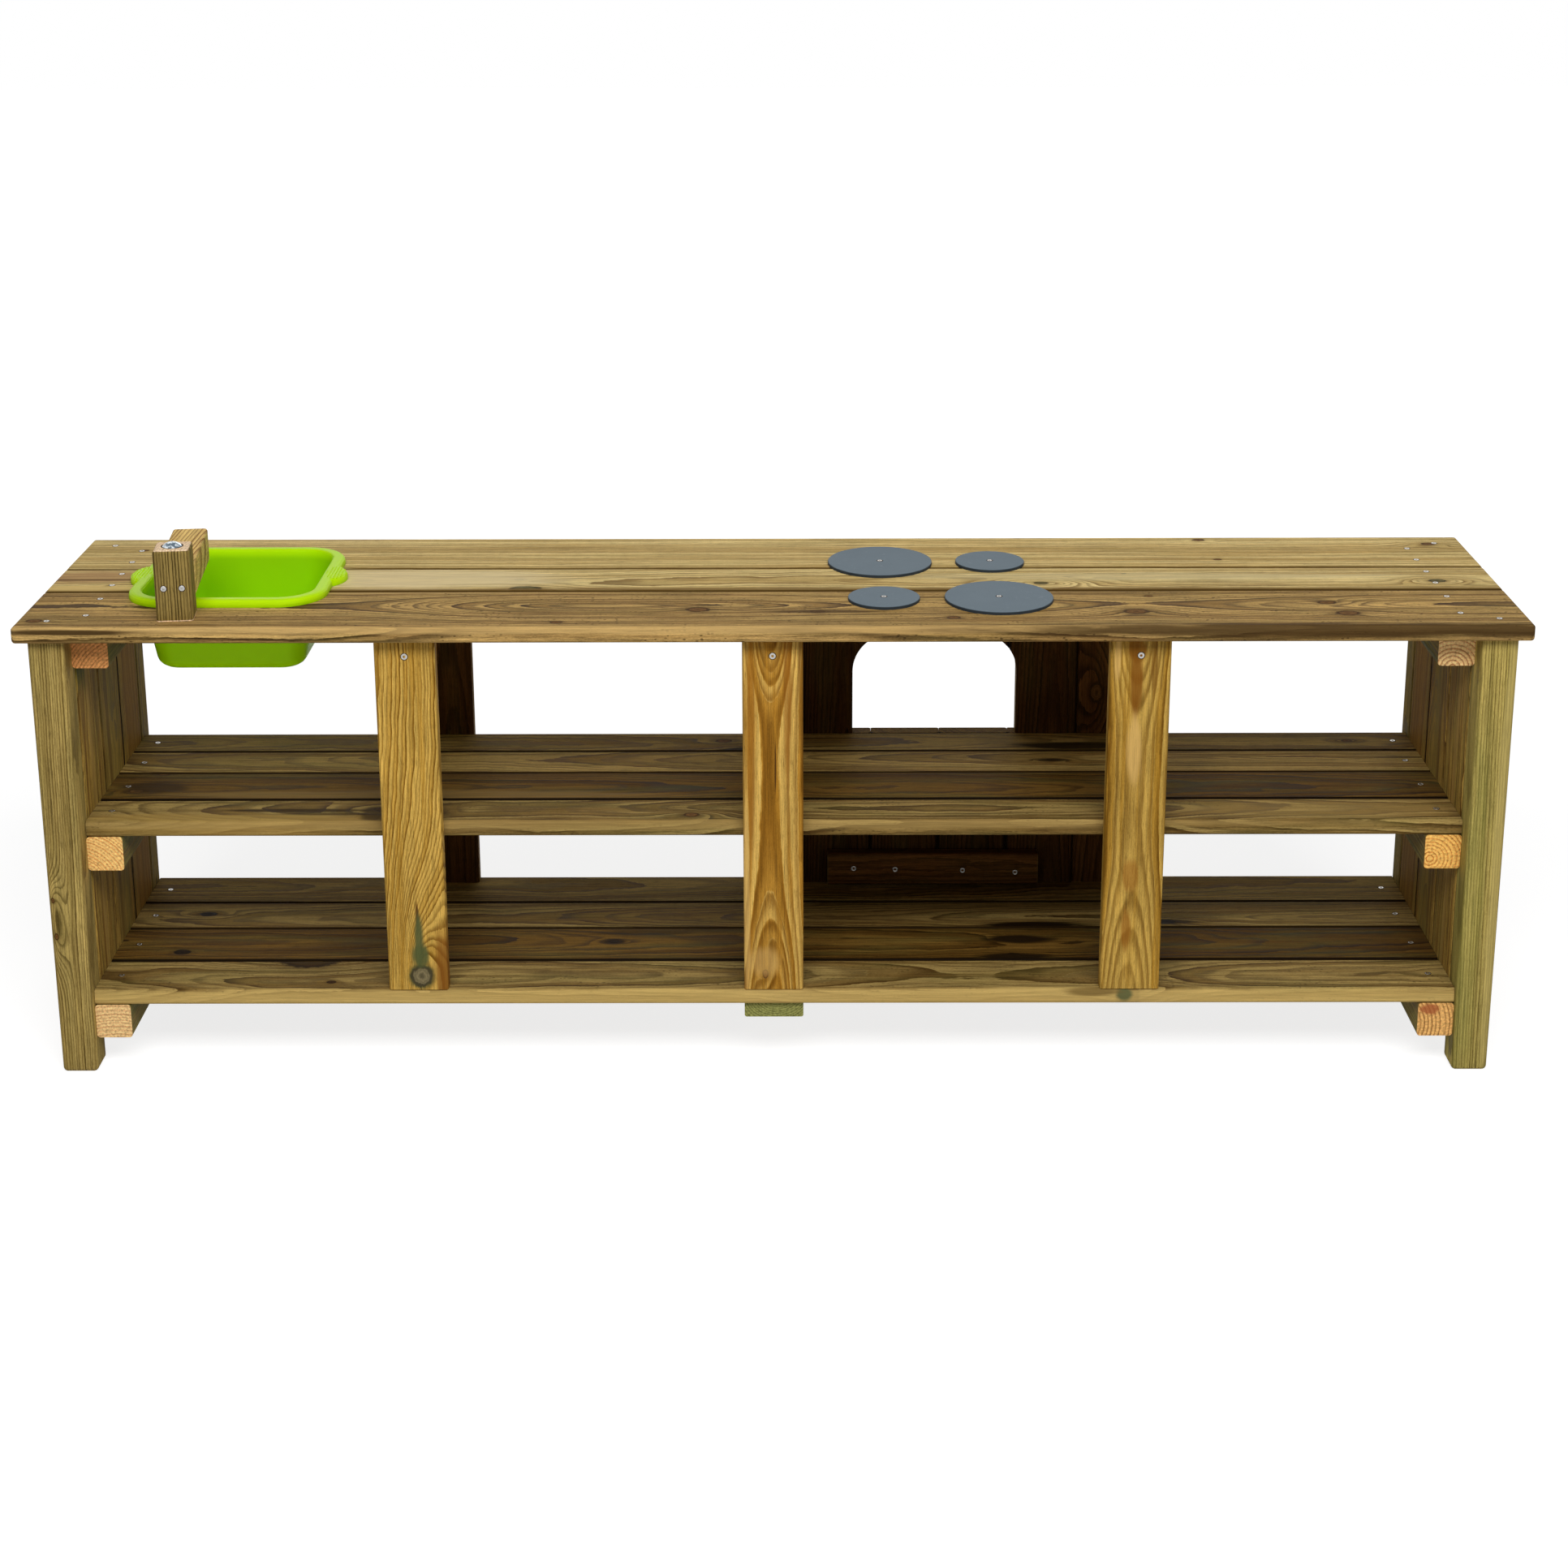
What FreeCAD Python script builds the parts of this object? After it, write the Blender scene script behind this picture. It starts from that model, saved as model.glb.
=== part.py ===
import FreeCAD, Part
import math
import os

# A long low play kitchen of pressure-treated pine for mud and water play. Its worktop carries a
# lift-out plastic basin, a swivelling wooden tap and four hob plates. Below are two board shelves,
# three pairs of uprights that divide them into four bays, and an arched oven mouth in a board panel.
# Millimetres. X runs along the worktop, Y from the near side to the oven side, Z up.
# The origin is on the ground under the middle of the worktop.

V = FreeCAD.Vector
os.makedirs("parts", exist_ok=True)

# Worktop
worktop_length = 1850.0
worktop_height = 600.0
worktop_thickness = 21.0
front_plank_width = 150.0
middle_plank_width = 100.0
rear_plank_width = 145.0
plank_gap = 2.5
plank_round = 4.5

# End frames
end_overhang = 15.0
side_overhang = 12.5
post_size = 45.0
post_round = 6.0
slat_count = 3
slat_thickness = 21.0
slat_gap = 1.0
board_round = 3.0
cleat_size = 45.0
cleat_round = 4.0
cleat_rear_setback = 12.0

# Shelves
upper_bay_height = 248.0
bottom_shelf_top = 110.0
shelf_thickness = 21.0
shelf_gap = 2.0
shelf_end_gap = 0.5
bottom_shelf_setback = 10.0
front_edge_round = 5.0
middle_board_shares = (0.235, 0.295, 0.25, 0.22)
bottom_board_shares = (0.245, 0.275, 0.235, 0.245)

# Uprights and what ties them
upright_width = 75.0
upright_thickness = 21.0
upright_round = 3.5
batten_size = 45.0
bearer_thickness = 21.0
bearer_setback = 8.0

# Oven panel: its mouth goes through the two middle boards and into the boards beside them
oven_boards = (("left",), ("lower_left", "upper_left"), ("lower_right", "upper_right"), ("right",))
oven_board_gap = 0.4
oven_bite_left = 25.5
oven_bite_right = 10.5
oven_mouth_height = 143.0
oven_mouth_corner = 54.0
oven_batten_reach = 34.0
oven_batten_height = 45.0
oven_batten_thickness = 21.0
oven_batten_lift = 5.0

# Tap
tap_size = 44.0
tap_height = 90.0
tap_edge_distance = 46.5
tap_from_basin_centre = 45.0
tap_turn = 6.0
tap_round = 4.0
tap_running_gap = 0.3
spout_reach = 152.0
spout_underside = 20.0
spout_screw_spacing = 22.0
spout_screw_diameter = 5.0
spout_screw_head = 9.0
spout_screw_length = 80.0
bolt_diameter = 10.0
bolt_head_diameter = 24.0
bolt_head_height = 5.5
bolt_clearance = 0.3
bolt_hole_clearance = 0.6
bolt_tail = 1.5
washer_diameter = 30.0
washer_thickness = 2.0
nut_width = 17.0
nut_height = 8.0

# Basin
basin_cleat_clearance = 19.5
basin_tap_clearance = 12.0
mouth_length = 218.0
mouth_width = 216.0
mouth_corner = 42.0
basin_depth = 100.0
basin_wall = 2.5
basin_draft_angle = 10.5
basin_floor_round = 11.0
rim_width = 16.0
rim_height = 10.0
rim_roll = 6.0
rim_gap = 0.3
grip_reach = 14.0
grip_radius = 44.0
cutout_clearance = 2.0

# Hob plates
large_plate_diameter = 136.0
small_plate_diameter = 90.0
plate_thickness = 4.0
plate_edge_round = 1.2
plate_column_spacing = 144.0
hob_shift = -14.5
front_plate_row = 112.0
rear_plate_row = 274.0
plate_screw_diameter = 5.0
plate_screw_head = 9.0
plate_screw_length = 20.0
screw_head_depth = 2.5
screw_pilot_gap = 0.05

# One overrun serves every cut, and one tolerance tells lengths and directions apart
overrun = 5.0
tolerance = 1e-3

# Derived places
worktop_depth = front_plank_width + middle_plank_width + rear_plank_width + 2 * plank_gap
half_length = worktop_length / 2
half_depth = worktop_depth / 2
worktop_underside = worktop_height - worktop_thickness
post_outer_x = half_length - end_overhang
post_inner_x = post_outer_x - post_size
frame_front = -half_depth + side_overhang
frame_rear = half_depth - side_overhang
bottom_front = frame_front + bottom_shelf_setback
bottom_rear = frame_rear
middle_front = bottom_front + upright_thickness
middle_rear = bottom_rear - upright_thickness
middle_shelf_top = worktop_underside - upper_bay_height
middle_underside = middle_shelf_top - shelf_thickness
bottom_underside = bottom_shelf_top - shelf_thickness
bottom_cleat_underside = bottom_underside - cleat_size
sides = {"left": -1, "right": 1}
dividers = {"left": -1, "centre": 0, "right": 1}
bay_width = (2 * post_inner_x - len(dividers) * upright_width) / (len(dividers) + 1)
upright_pitch = bay_width + upright_width
upright_centres = {name: place * upright_pitch for name, place in dividers.items()}
oven_start = upright_centres["centre"] + upright_width / 2 + oven_board_gap
oven_board_pitch = (upright_centres["right"] - upright_width / 2 - oven_start) / len(oven_boards)
mouth_left = oven_start + oven_board_pitch - oven_bite_left
mouth_right = oven_start + (len(oven_boards) - 1) * oven_board_pitch - oven_board_gap + oven_bite_right
front_joint = -half_depth + front_plank_width
rear_joint = half_depth - rear_plank_width
cutout_reach = basin_wall + cutout_clearance
basin_x = cleat_size - post_inner_x + basin_cleat_clearance + cutout_reach + mouth_length / 2
tap_x = basin_x - tap_from_basin_centre
tap_y = -half_depth + tap_edge_distance
basin_y = tap_y + tap_size / 2 + basin_tap_clearance + rim_width + mouth_width / 2
spout_z = worktop_height + spout_underside
hob_x = (upright_centres["centre"] + upright_centres["right"]) / 2 + hob_shift


def box(x0, x1, y0, y1, z0, z1):
    return Part.makeBox(x1 - x0, y1 - y0, z1 - z0, V(x0, y0, z0))


def cylinder(radius, z0, z1, x, y):
    return Part.makeCylinder(radius, z1 - z0, V(x, y, z0))


def runs_along(edge, axis):
    step = edge.Vertexes[-1].Point - edge.Vertexes[0].Point
    return abs(abs(step.normalize().dot(axis)) - 1) < tolerance


def board(x0, x1, y0, y1, z0, z1, axis, radius):
    """A piece of timber with its long edges rounded, as planed stock has them."""
    solid = box(x0, x1, y0, y1, z0, z1)
    return solid.makeFillet(radius, [e for e in solid.Edges if runs_along(e, axis)])


def along_x(x0, x1, y0, y1, z0, z1, radius=board_round):
    return board(x0, x1, y0, y1, z0, z1, V(1, 0, 0), radius)


def along_y(x0, x1, y0, y1, z0, z1, radius=board_round):
    return board(x0, x1, y0, y1, z0, z1, V(0, 1, 0), radius)


def along_z(x0, x1, y0, y1, z0, z1, radius=board_round):
    return board(x0, x1, y0, y1, z0, z1, V(0, 0, 1), radius)


def between(a, b, side):
    """Two lengths out from the middle, as low and high places on the given side."""
    return sorted((side * a, side * b))


def write(name, *solids):
    shape = solids[0] if len(solids) == 1 else Part.makeCompound(list(solids))
    shape.exportStep(os.path.join("parts", name + ".step"))
    print(name, len(shape.Solids), "solids", round(shape.Volume / 1000, 1), "cm3", shape.isValid())


def rounded_rectangle(half_x, half_y, corner, z, x=0, y=0):
    """A closed wire with four round corners, anticlockwise from the near side's left end."""
    edges = []
    spots = ((1, -1, -90), (1, 1, 0), (-1, 1, 90), (-1, -1, 180))
    last = V(x - half_x + corner, y - half_y, z)
    for sx, sy, start in spots:
        centre = V(x + sx * (half_x - corner), y + sy * (half_y - corner), z)
        turn = [centre + V(math.cos(math.radians(start + a)), math.sin(math.radians(start + a)), 0) * corner
                for a in (0, 45, 90)]
        edges.append(Part.makeLine(last, turn[0]))
        edges.append(Part.Arc(*turn).toShape())
        last = turn[2]
    edges[0] = Part.makeLine(last, edges[0].Vertexes[-1].Point)
    return Part.Wire(edges)


def grip_outline(inset, z):
    """The rim's outline, with a round grip standing out in the middle of both ends."""
    half_x = mouth_length / 2 + rim_width - inset
    half_y = mouth_width / 2 + rim_width - inset
    corner = mouth_corner + rim_width - inset
    radius = grip_radius - inset
    centre_x = mouth_length / 2 + rim_width + grip_reach - grip_radius
    chord = math.sqrt(radius ** 2 - (half_x - centre_x) ** 2)
    points = []
    for side in (1, -1):
        c_low = V(side * (half_x - corner), side * (corner - half_y), z)
        c_high = V(side * (half_x - corner), side * (half_y - corner), z)
        diagonal = corner * math.sqrt(0.5)
        points += [
            ("line", V(side * (half_x - corner), side * -half_y, z)),
            ("arc", c_low + V(side * diagonal, side * -diagonal, 0), V(side * half_x, side * (corner - half_y), z)),
            ("line", V(side * half_x, side * -chord, z)),
            ("arc", V(side * (centre_x + radius), 0, z), V(side * half_x, side * chord, z)),
            ("line", V(side * half_x, side * (half_y - corner), z)),
            ("arc", c_high + V(side * diagonal, side * diagonal, 0), V(side * (half_x - corner), side * half_y, z)),
        ]
    last = points[-1][-1]
    edges = []
    for kind, *places in points:
        if kind == "line":
            edges.append(Part.makeLine(last, places[0]))
        else:
            edges.append(Part.Arc(last, places[0], places[1]).toShape())
        last = places[-1]
    wire = Part.Wire(edges)
    wire.translate(V(basin_x, basin_y, 0))
    return wire


def loft(wires):
    return Part.makeLoft(wires, True, True)


# Worktop planks, cut for the basin and drilled for the tap's bolt and the hob's screws
def basin_cutout():
    wire = rounded_rectangle(mouth_length / 2 + cutout_reach, mouth_width / 2 + cutout_reach,
                             mouth_corner + cutout_reach, worktop_underside - overrun, basin_x, basin_y)
    return Part.Face(wire).extrude(V(0, 0, worktop_thickness + 2 * overrun))


def plank(y0, y1):
    solid = box(-half_length, half_length, y0, y1, worktop_underside, worktop_height)
    return solid.makeFillet(plank_round, solid.Edges)


def make_worktop():
    bolt_hole = cylinder(bolt_diameter / 2 + bolt_hole_clearance, worktop_underside - overrun,
                         worktop_height + overrun, tap_x, tap_y)
    cuts = (basin_cutout(), bolt_hole, plate_pilots())
    write("worktop_front_plank", plank(-half_depth, front_joint).cut(cuts))
    middle = plank(front_joint + plank_gap, rear_joint - plank_gap).cut(cuts)
    left, right = sorted(middle.Solids, key=lambda s: s.CenterOfMass.x)
    write("worktop_middle_plank_left", left)
    write("worktop_middle_plank_right", right)
    write("worktop_rear_plank", plank(rear_joint, half_depth).cut(cuts))


# End frames: posts with rounded feet, slats between them, and cleats that carry the shelves
def post(side, y0):
    x0, x1 = between(post_inner_x, post_outer_x, side)
    solid = box(x0, x1, y0, y0 + post_size, 0, worktop_underside)
    return solid.makeFillet(post_round, [e for e in solid.Edges if e.BoundBox.ZMin < worktop_underside / 2])


def slats(side):
    x0, x1 = between(post_inner_x, post_inner_x + slat_thickness, side)
    start = frame_front + post_size
    pitch = (frame_rear - post_size - start + slat_gap) / slat_count
    made = []
    for i in range(slat_count):
        y0 = start + i * pitch
        made.append(along_z(x0, x1, y0, y0 + pitch - slat_gap, bottom_cleat_underside, worktop_underside))
    return made


def cleat(side, top, front):
    x0, x1 = between(post_inner_x - cleat_size, post_inner_x, side)
    return along_y(x0, x1, front, frame_rear - cleat_rear_setback, top - cleat_size, top, cleat_round)


def make_ends():
    for name, side in sides.items():
        write("post_front_" + name, post(side, frame_front))
        write("post_rear_" + name, post(side, frame_rear - post_size))
        write("end_slats_" + name, *slats(side))
        write("cleat_top_" + name, cleat(side, worktop_underside, middle_front))
        write("cleat_middle_" + name, cleat(side, middle_underside, middle_front))
        write("cleat_bottom_" + name, cleat(side, bottom_underside, bottom_front))


# Shelves of four boards, numbered from the near edge
def make_shelf(name, front, rear, top, shares):
    reach = post_inner_x - shelf_end_gap
    timber = rear - front - (len(shares) - 1) * shelf_gap
    y = front
    for i, share in enumerate(shares):
        width = timber * share
        radius = front_edge_round if i == 0 else board_round
        write(f"{name}_shelf_board_{i + 1}", along_x(-reach, reach, y, y + width, top - shelf_thickness, top, radius))
        y += width + shelf_gap


# Uprights on the bottom shelf, tied in pairs by battens under the worktop and the middle shelf
def make_dividers():
    for name, x in upright_centres.items():
        x0, x1 = x - upright_width / 2, x + upright_width / 2
        for place, y0 in (("front", bottom_front), ("rear", bottom_rear - upright_thickness)):
            write(f"upright_{place}_{name}", along_z(x0, x1, y0, y0 + upright_thickness, bottom_shelf_top,
                                                     worktop_underside, upright_round))
        x0, x1 = x - batten_size / 2, x + batten_size / 2
        for place, top in (("top", worktop_underside), ("middle", middle_underside)):
            write(f"{place}_batten_{name}", along_y(x0, x1, middle_front, middle_rear, top - batten_size, top,
                                                    cleat_round))
    write("bottom_bearer", along_y(-upright_width / 2, upright_width / 2, bottom_front + bearer_setback,
                                   bottom_rear - bearer_setback, bottom_underside - bearer_thickness,
                                   bottom_underside))


# Oven panel: boards between two rear uprights, with a mouth that has round top corners
def mouth():
    z0, z1 = middle_shelf_top, middle_shelf_top + oven_mouth_height
    solid = box(mouth_left, mouth_right, middle_rear - overrun, bottom_rear + overrun, z0, z1)
    tops = [e for e in solid.Edges if runs_along(e, V(0, 1, 0)) and e.BoundBox.ZMin > z1 - overrun]
    return solid.makeFillet(oven_mouth_corner, tops)


def make_oven():
    hole = mouth()
    for i, pieces in enumerate(oven_boards):
        x0 = oven_start + i * oven_board_pitch
        solid = along_z(x0, x0 + oven_board_pitch - oven_board_gap, middle_rear, bottom_rear, bottom_shelf_top,
                        worktop_underside)
        cut = sorted(solid.cut(hole).Solids, key=lambda s: s.CenterOfMass.z)
        for name, made in zip(pieces, cut):
            write("oven_board_" + name, made)
    x0, x1 = mouth_left - oven_batten_reach, mouth_right + oven_batten_reach
    y0 = middle_rear - oven_batten_thickness
    low = bottom_shelf_top + oven_batten_lift
    write("oven_lower_batten", along_x(x0, x1, y0, middle_rear, low, low + oven_batten_height))
    write("oven_upper_batten", along_x(x0, x1, y0, middle_rear, worktop_underside - oven_batten_height,
                                       worktop_underside))


# Tap: a block on one coach bolt, with a spout screwed to its back, turned a little at rest
def turned(shape):
    shape.rotate(V(tap_x, tap_y, 0), V(0, 0, 1), tap_turn)
    return shape


def dome(diameter, height, base):
    """The low round head of a coach bolt."""
    radius = ((diameter / 2) ** 2 + height ** 2) / (2 * height)
    ball = Part.makeSphere(radius, V(tap_x, tap_y, base + height - radius))
    return ball.common(cylinder(diameter, base, base + 2 * height, tap_x, tap_y))


def spout_screw(x, gap=0):
    """A countersunk screw along Y, or with a gap the hole that it needs."""
    z = spout_z + tap_size / 2
    y0 = tap_y - tap_size / 2
    shank = Part.makeCylinder(spout_screw_diameter / 2 + gap, spout_screw_length + gap, V(x, y0, z), V(0, 1, 0))
    head = Part.makeCone(spout_screw_head / 2 + gap, spout_screw_diameter / 2 + gap, screw_head_depth,
                         V(x, y0, z), V(0, 1, 0))
    return shank.fuse(head).removeSplitter()


def make_tap():
    half = tap_size / 2
    foot = worktop_height + tap_running_gap
    top = worktop_height + tap_height
    screws_x = [tap_x + s * spout_screw_spacing / 2 for s in (-1, 1)]
    upright = box(tap_x - half, tap_x + half, tap_y - half, tap_y + half, foot, top)
    upright = upright.makeFillet(tap_round, [e for e in upright.Edges if e.BoundBox.ZMin > foot - tolerance
                                             and e.BoundBox.ZMax > foot + tolerance])
    upright = upright.cut(cylinder(bolt_diameter / 2 + bolt_clearance, foot - overrun, top + overrun, tap_x, tap_y))
    spout = along_y(tap_x - half, tap_x + half, tap_y + half, tap_y + half + spout_reach, spout_z,
                    spout_z + tap_size, tap_round)
    for x in screws_x:
        upright = upright.cut(spout_screw(x, screw_pilot_gap))
        spout = spout.cut(spout_screw(x, screw_pilot_gap))
    write("tap_upright", turned(upright))
    write("tap_spout", turned(spout))
    write("tap_screws", *[turned(spout_screw(x)) for x in screws_x])
    under = worktop_underside - tap_running_gap
    shank_end = under - washer_thickness - nut_height - bolt_tail
    bolt = cylinder(bolt_diameter / 2, shank_end, top + bolt_head_height / 2, tap_x, tap_y)
    write("tap_bolt", bolt.fuse(dome(bolt_head_diameter, bolt_head_height, top)).removeSplitter())
    ring = cylinder(washer_diameter / 2, under - washer_thickness, under, tap_x, tap_y)
    bore = cylinder(bolt_diameter / 2 + screw_pilot_gap, shank_end - overrun, under + overrun, tap_x, tap_y)
    write("tap_washer", ring.cut(bore))
    nut_top = under - washer_thickness
    corner = nut_width / 2 / math.cos(math.radians(30))
    hexagon = [V(tap_x + corner * math.cos(math.radians(60 * k)), tap_y + corner * math.sin(math.radians(60 * k)),
                 nut_top - nut_height) for k in range(7)]
    nut = Part.Face(Part.makePolygon(hexagon)).extrude(V(0, 0, nut_height))
    write("tap_nut", nut.cut(bore))


# Basin: a thin tub with a broad rolled rim that lies on the worktop
def tub_section(outset, z):
    """A level of the tub below its mouth: it narrows with depth and rounds into its floor."""
    depth = worktop_height + rim_height - z
    narrow = math.tan(math.radians(basin_draft_angle)) * depth
    floor_z = worktop_height + rim_height - basin_depth - outset
    above = z - floor_z
    rounding = basin_floor_round + outset
    tuck = rounding - math.sqrt(max(0, rounding ** 2 - max(0, rounding - above) ** 2))
    half_x = mouth_length / 2 + outset - narrow - tuck
    half_y = mouth_width / 2 + outset - narrow - tuck
    corner = mouth_corner + outset - narrow - tuck / 2
    return rounded_rectangle(half_x, half_y, corner, z, basin_x, basin_y)


def tub(outset, top):
    floor_z = worktop_height + rim_height - basin_depth - outset
    rounding = basin_floor_round + outset
    steps = [rounding * (1 - math.cos(math.radians(a))) for a in (30, 50, 70, 90)]
    levels = [floor_z] + [floor_z + s for s in steps] + [top]
    return loft([tub_section(outset, z) for z in levels])


def make_basin():
    top = worktop_height + rim_height
    under = worktop_height + rim_gap
    turns = [math.radians(a) for a in (0, 30, 60, 90)]
    roll = [(rim_roll * (1 - math.cos(t)), top - rim_roll + rim_roll * math.sin(t)) for t in turns]
    outer = loft([grip_outline(0, under)] + [grip_outline(inset, z) for inset, z in roll])
    lip_top = top - basin_wall
    hollow = loft([grip_outline(basin_wall, under - overrun), grip_outline(basin_wall, top - rim_roll),
                   grip_outline(basin_wall + rim_roll / 2, lip_top)])
    neck = Part.Face(rounded_rectangle(mouth_length / 2 + basin_wall, mouth_width / 2 + basin_wall,
                                       mouth_corner + basin_wall, under - 2 * overrun, basin_x, basin_y))
    rim = outer.cut(hollow.cut(neck.extrude(V(0, 0, rim_height + 3 * overrun))))
    shell = rim.fuse(tub(basin_wall, top - rim_roll / 2)).removeSplitter()
    flare = []
    for t in turns:
        half = rim_roll / 2 * (1 - math.sin(t))
        z = top - rim_roll / 2 * (1 - math.cos(t))
        flare.append(rounded_rectangle(mouth_length / 2 + half, mouth_width / 2 + half, mouth_corner + half, z,
                                       basin_x, basin_y))
    flare = loft(flare[::-1])
    write("basin", shell.cut(tub(0, top - rim_roll / 2)).cut(flare))


# Hob plates, each held by one screw through its middle
def plate_places():
    near = -half_depth + front_plate_row
    far = -half_depth + rear_plate_row
    left, right = hob_x - plate_column_spacing / 2, hob_x + plate_column_spacing / 2
    return {"hob_plate_large_rear": (left, far, large_plate_diameter),
            "hob_plate_small_rear": (right, far, small_plate_diameter),
            "hob_plate_small_front": (left, near, small_plate_diameter),
            "hob_plate_large_front": (right, near, large_plate_diameter)}


def plate_screw(x, y, gap=0):
    top = worktop_height + plate_thickness
    shank = cylinder(plate_screw_diameter / 2 + gap, top - plate_screw_length - gap, top, x, y)
    head = Part.makeCone(plate_screw_diameter / 2 + gap, plate_screw_head / 2 + gap, screw_head_depth,
                         V(x, y, top - screw_head_depth))
    return shank.fuse(head).removeSplitter()


def plate_pilots():
    return Part.makeCompound([plate_screw(x, y, screw_pilot_gap) for x, y, _ in plate_places().values()])


def make_hob():
    for name, (x, y, diameter) in plate_places().items():
        plate = cylinder(diameter / 2, worktop_height, worktop_height + plate_thickness, x, y)
        rim = [e for e in plate.Edges if e.BoundBox.ZMin > worktop_height + plate_thickness / 2
               and e.BoundBox.ZLength < tolerance]
        write(name, plate.makeFillet(plate_edge_round, rim).cut(plate_screw(x, y, screw_pilot_gap)))
    write("hob_screws", *[plate_screw(x, y) for x, y, _ in plate_places().values()])


make_worktop()
make_ends()
make_shelf("middle", middle_front, middle_rear, middle_shelf_top, middle_board_shares)
make_shelf("bottom", bottom_front, bottom_rear, bottom_shelf_top, bottom_board_shares)
make_dividers()
make_oven()
make_tap()
make_basin()
make_hob()
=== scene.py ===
import math
import random

import bmesh
import bpy
from mathutils import Matrix, Vector


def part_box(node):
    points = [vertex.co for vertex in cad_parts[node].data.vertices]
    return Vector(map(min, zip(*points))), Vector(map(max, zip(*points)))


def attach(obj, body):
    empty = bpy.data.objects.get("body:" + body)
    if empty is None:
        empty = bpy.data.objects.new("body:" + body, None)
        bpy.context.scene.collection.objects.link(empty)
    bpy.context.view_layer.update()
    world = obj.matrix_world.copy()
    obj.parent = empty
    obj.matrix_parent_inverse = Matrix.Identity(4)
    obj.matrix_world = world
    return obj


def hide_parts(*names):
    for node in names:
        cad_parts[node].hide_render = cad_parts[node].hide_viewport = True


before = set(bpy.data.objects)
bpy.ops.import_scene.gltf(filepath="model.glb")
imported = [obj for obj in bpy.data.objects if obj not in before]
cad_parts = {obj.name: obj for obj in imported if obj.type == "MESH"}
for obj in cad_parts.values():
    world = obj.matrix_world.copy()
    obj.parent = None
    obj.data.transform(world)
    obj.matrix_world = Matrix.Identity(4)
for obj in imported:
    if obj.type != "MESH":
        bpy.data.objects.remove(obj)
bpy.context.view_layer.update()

# The mud kitchen's looks: treated pine with its own figure on every board, a moulded basin, slate hob
# plates and zinc screws. Lengths are metres, and millimetres where a name or a comment says so.
MM = 0.001
AXES = "XYZ"


def srgb(red, green, blue):
    """A colour as a picture editor shows it, 0 to 255, turned into the linear values that shaders take."""
    def linear(value):
        value /= 255
        return value / 12.92 if value <= 0.04045 else ((value + 0.055) / 1.055) ** 2.4
    return (linear(red), linear(green), linear(blue), 1.0)


# A node tree written as sums: each Value is a socket, and a sum of Values makes the Math nodes for it
class Value:
    def __init__(self, graph, socket):
        self.graph, self.socket = graph, socket

    def __add__(self, other):
        return self.graph.math("ADD", self, other)

    def __sub__(self, other):
        return self.graph.math("SUBTRACT", self, other)

    def __rsub__(self, other):
        return self.graph.math("SUBTRACT", other, self)

    def __mul__(self, other):
        return self.graph.math("MULTIPLY", self, other)

    def __truediv__(self, other):
        return self.graph.math("DIVIDE", self, other)

    __radd__, __rmul__ = __add__, __mul__


# The colour sockets of a Mix node, by number, because all its types share their names
MIX_FIRST, MIX_SECOND, MIX_RESULT = 6, 7, 2


class Graph:
    def __init__(self, tree):
        self.tree = tree

    def put(self, socket, value):
        if isinstance(value, Value):
            self.tree.links.new(value.socket, socket)
        else:
            socket.default_value = value

    def node(self, kind, inputs=None, **settings):
        made = self.tree.nodes.new("ShaderNode" + kind)
        for name, value in settings.items():
            setattr(made, name, value)
        for name, value in (inputs or {}).items():
            self.put(made.inputs[name], value)
        return made

    def out(self, node, name=0):
        return Value(self, node.outputs[name])

    def math(self, operation, *values):
        return self.out(self.node("Math", dict(enumerate(values)), operation=operation))

    def vector(self, x, y, z):
        return self.out(self.node("CombineXYZ", {0: x, 1: y, 2: z}))

    def parts(self, vector):
        made = self.node("SeparateXYZ", {0: vector})
        return [self.out(made, k) for k in range(3)]

    def noise(self, vector, seed, detail=2.0, scale=1.0):
        """Noise from 0 to 1, with a mean of a half."""
        made = self.node("TexNoise", {"Vector": vector, "W": seed, "Detail": detail, "Scale": scale},
                         noise_dimensions="4D")
        return self.out(made, "Fac")

    def noises(self, vector, seed):
        """Three noises that don't follow one another, each with a mean of 0."""
        made = self.node("TexNoise", {"Vector": vector, "W": seed, "Detail": 1.0, "Scale": 1.0},
                         noise_dimensions="4D")
        return [part - 0.5 for part in self.parts(self.out(made, "Color"))]

    def grain(self, place, length, width):
        """A place in wood, scaled so that noise there has grains of this length and width in millimetres."""
        along, across, deep = place
        return self.vector(along / length, across / width, deep / width)

    def smooth(self, value, low, high):
        """0 below low and 1 above high, with a soft step between, either way round."""
        made = self.node("MapRange", {"Value": value, "From Min": low, "From Max": high},
                         interpolation_type="SMOOTHSTEP")
        return self.out(made)

    def bump(self, height, strength, distance):
        return self.out(self.node("Bump", {"Height": height, "Strength": strength, "Distance": distance}))

    def mix(self, amount, first, second, blend="MIX"):
        made = self.node("Mix", data_type="RGBA", blend_type=blend, clamp_factor=True)
        self.put(made.inputs["Factor"], amount)
        self.put(made.inputs[MIX_FIRST], first)
        self.put(made.inputs[MIX_SECOND], second)
        return self.out(made, MIX_RESULT)

    def shade(self, colour, level):
        """The colour times a level that a Value gives."""
        return self.mix(1.0, colour, self.vector(level, level, level), "MULTIPLY")


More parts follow.
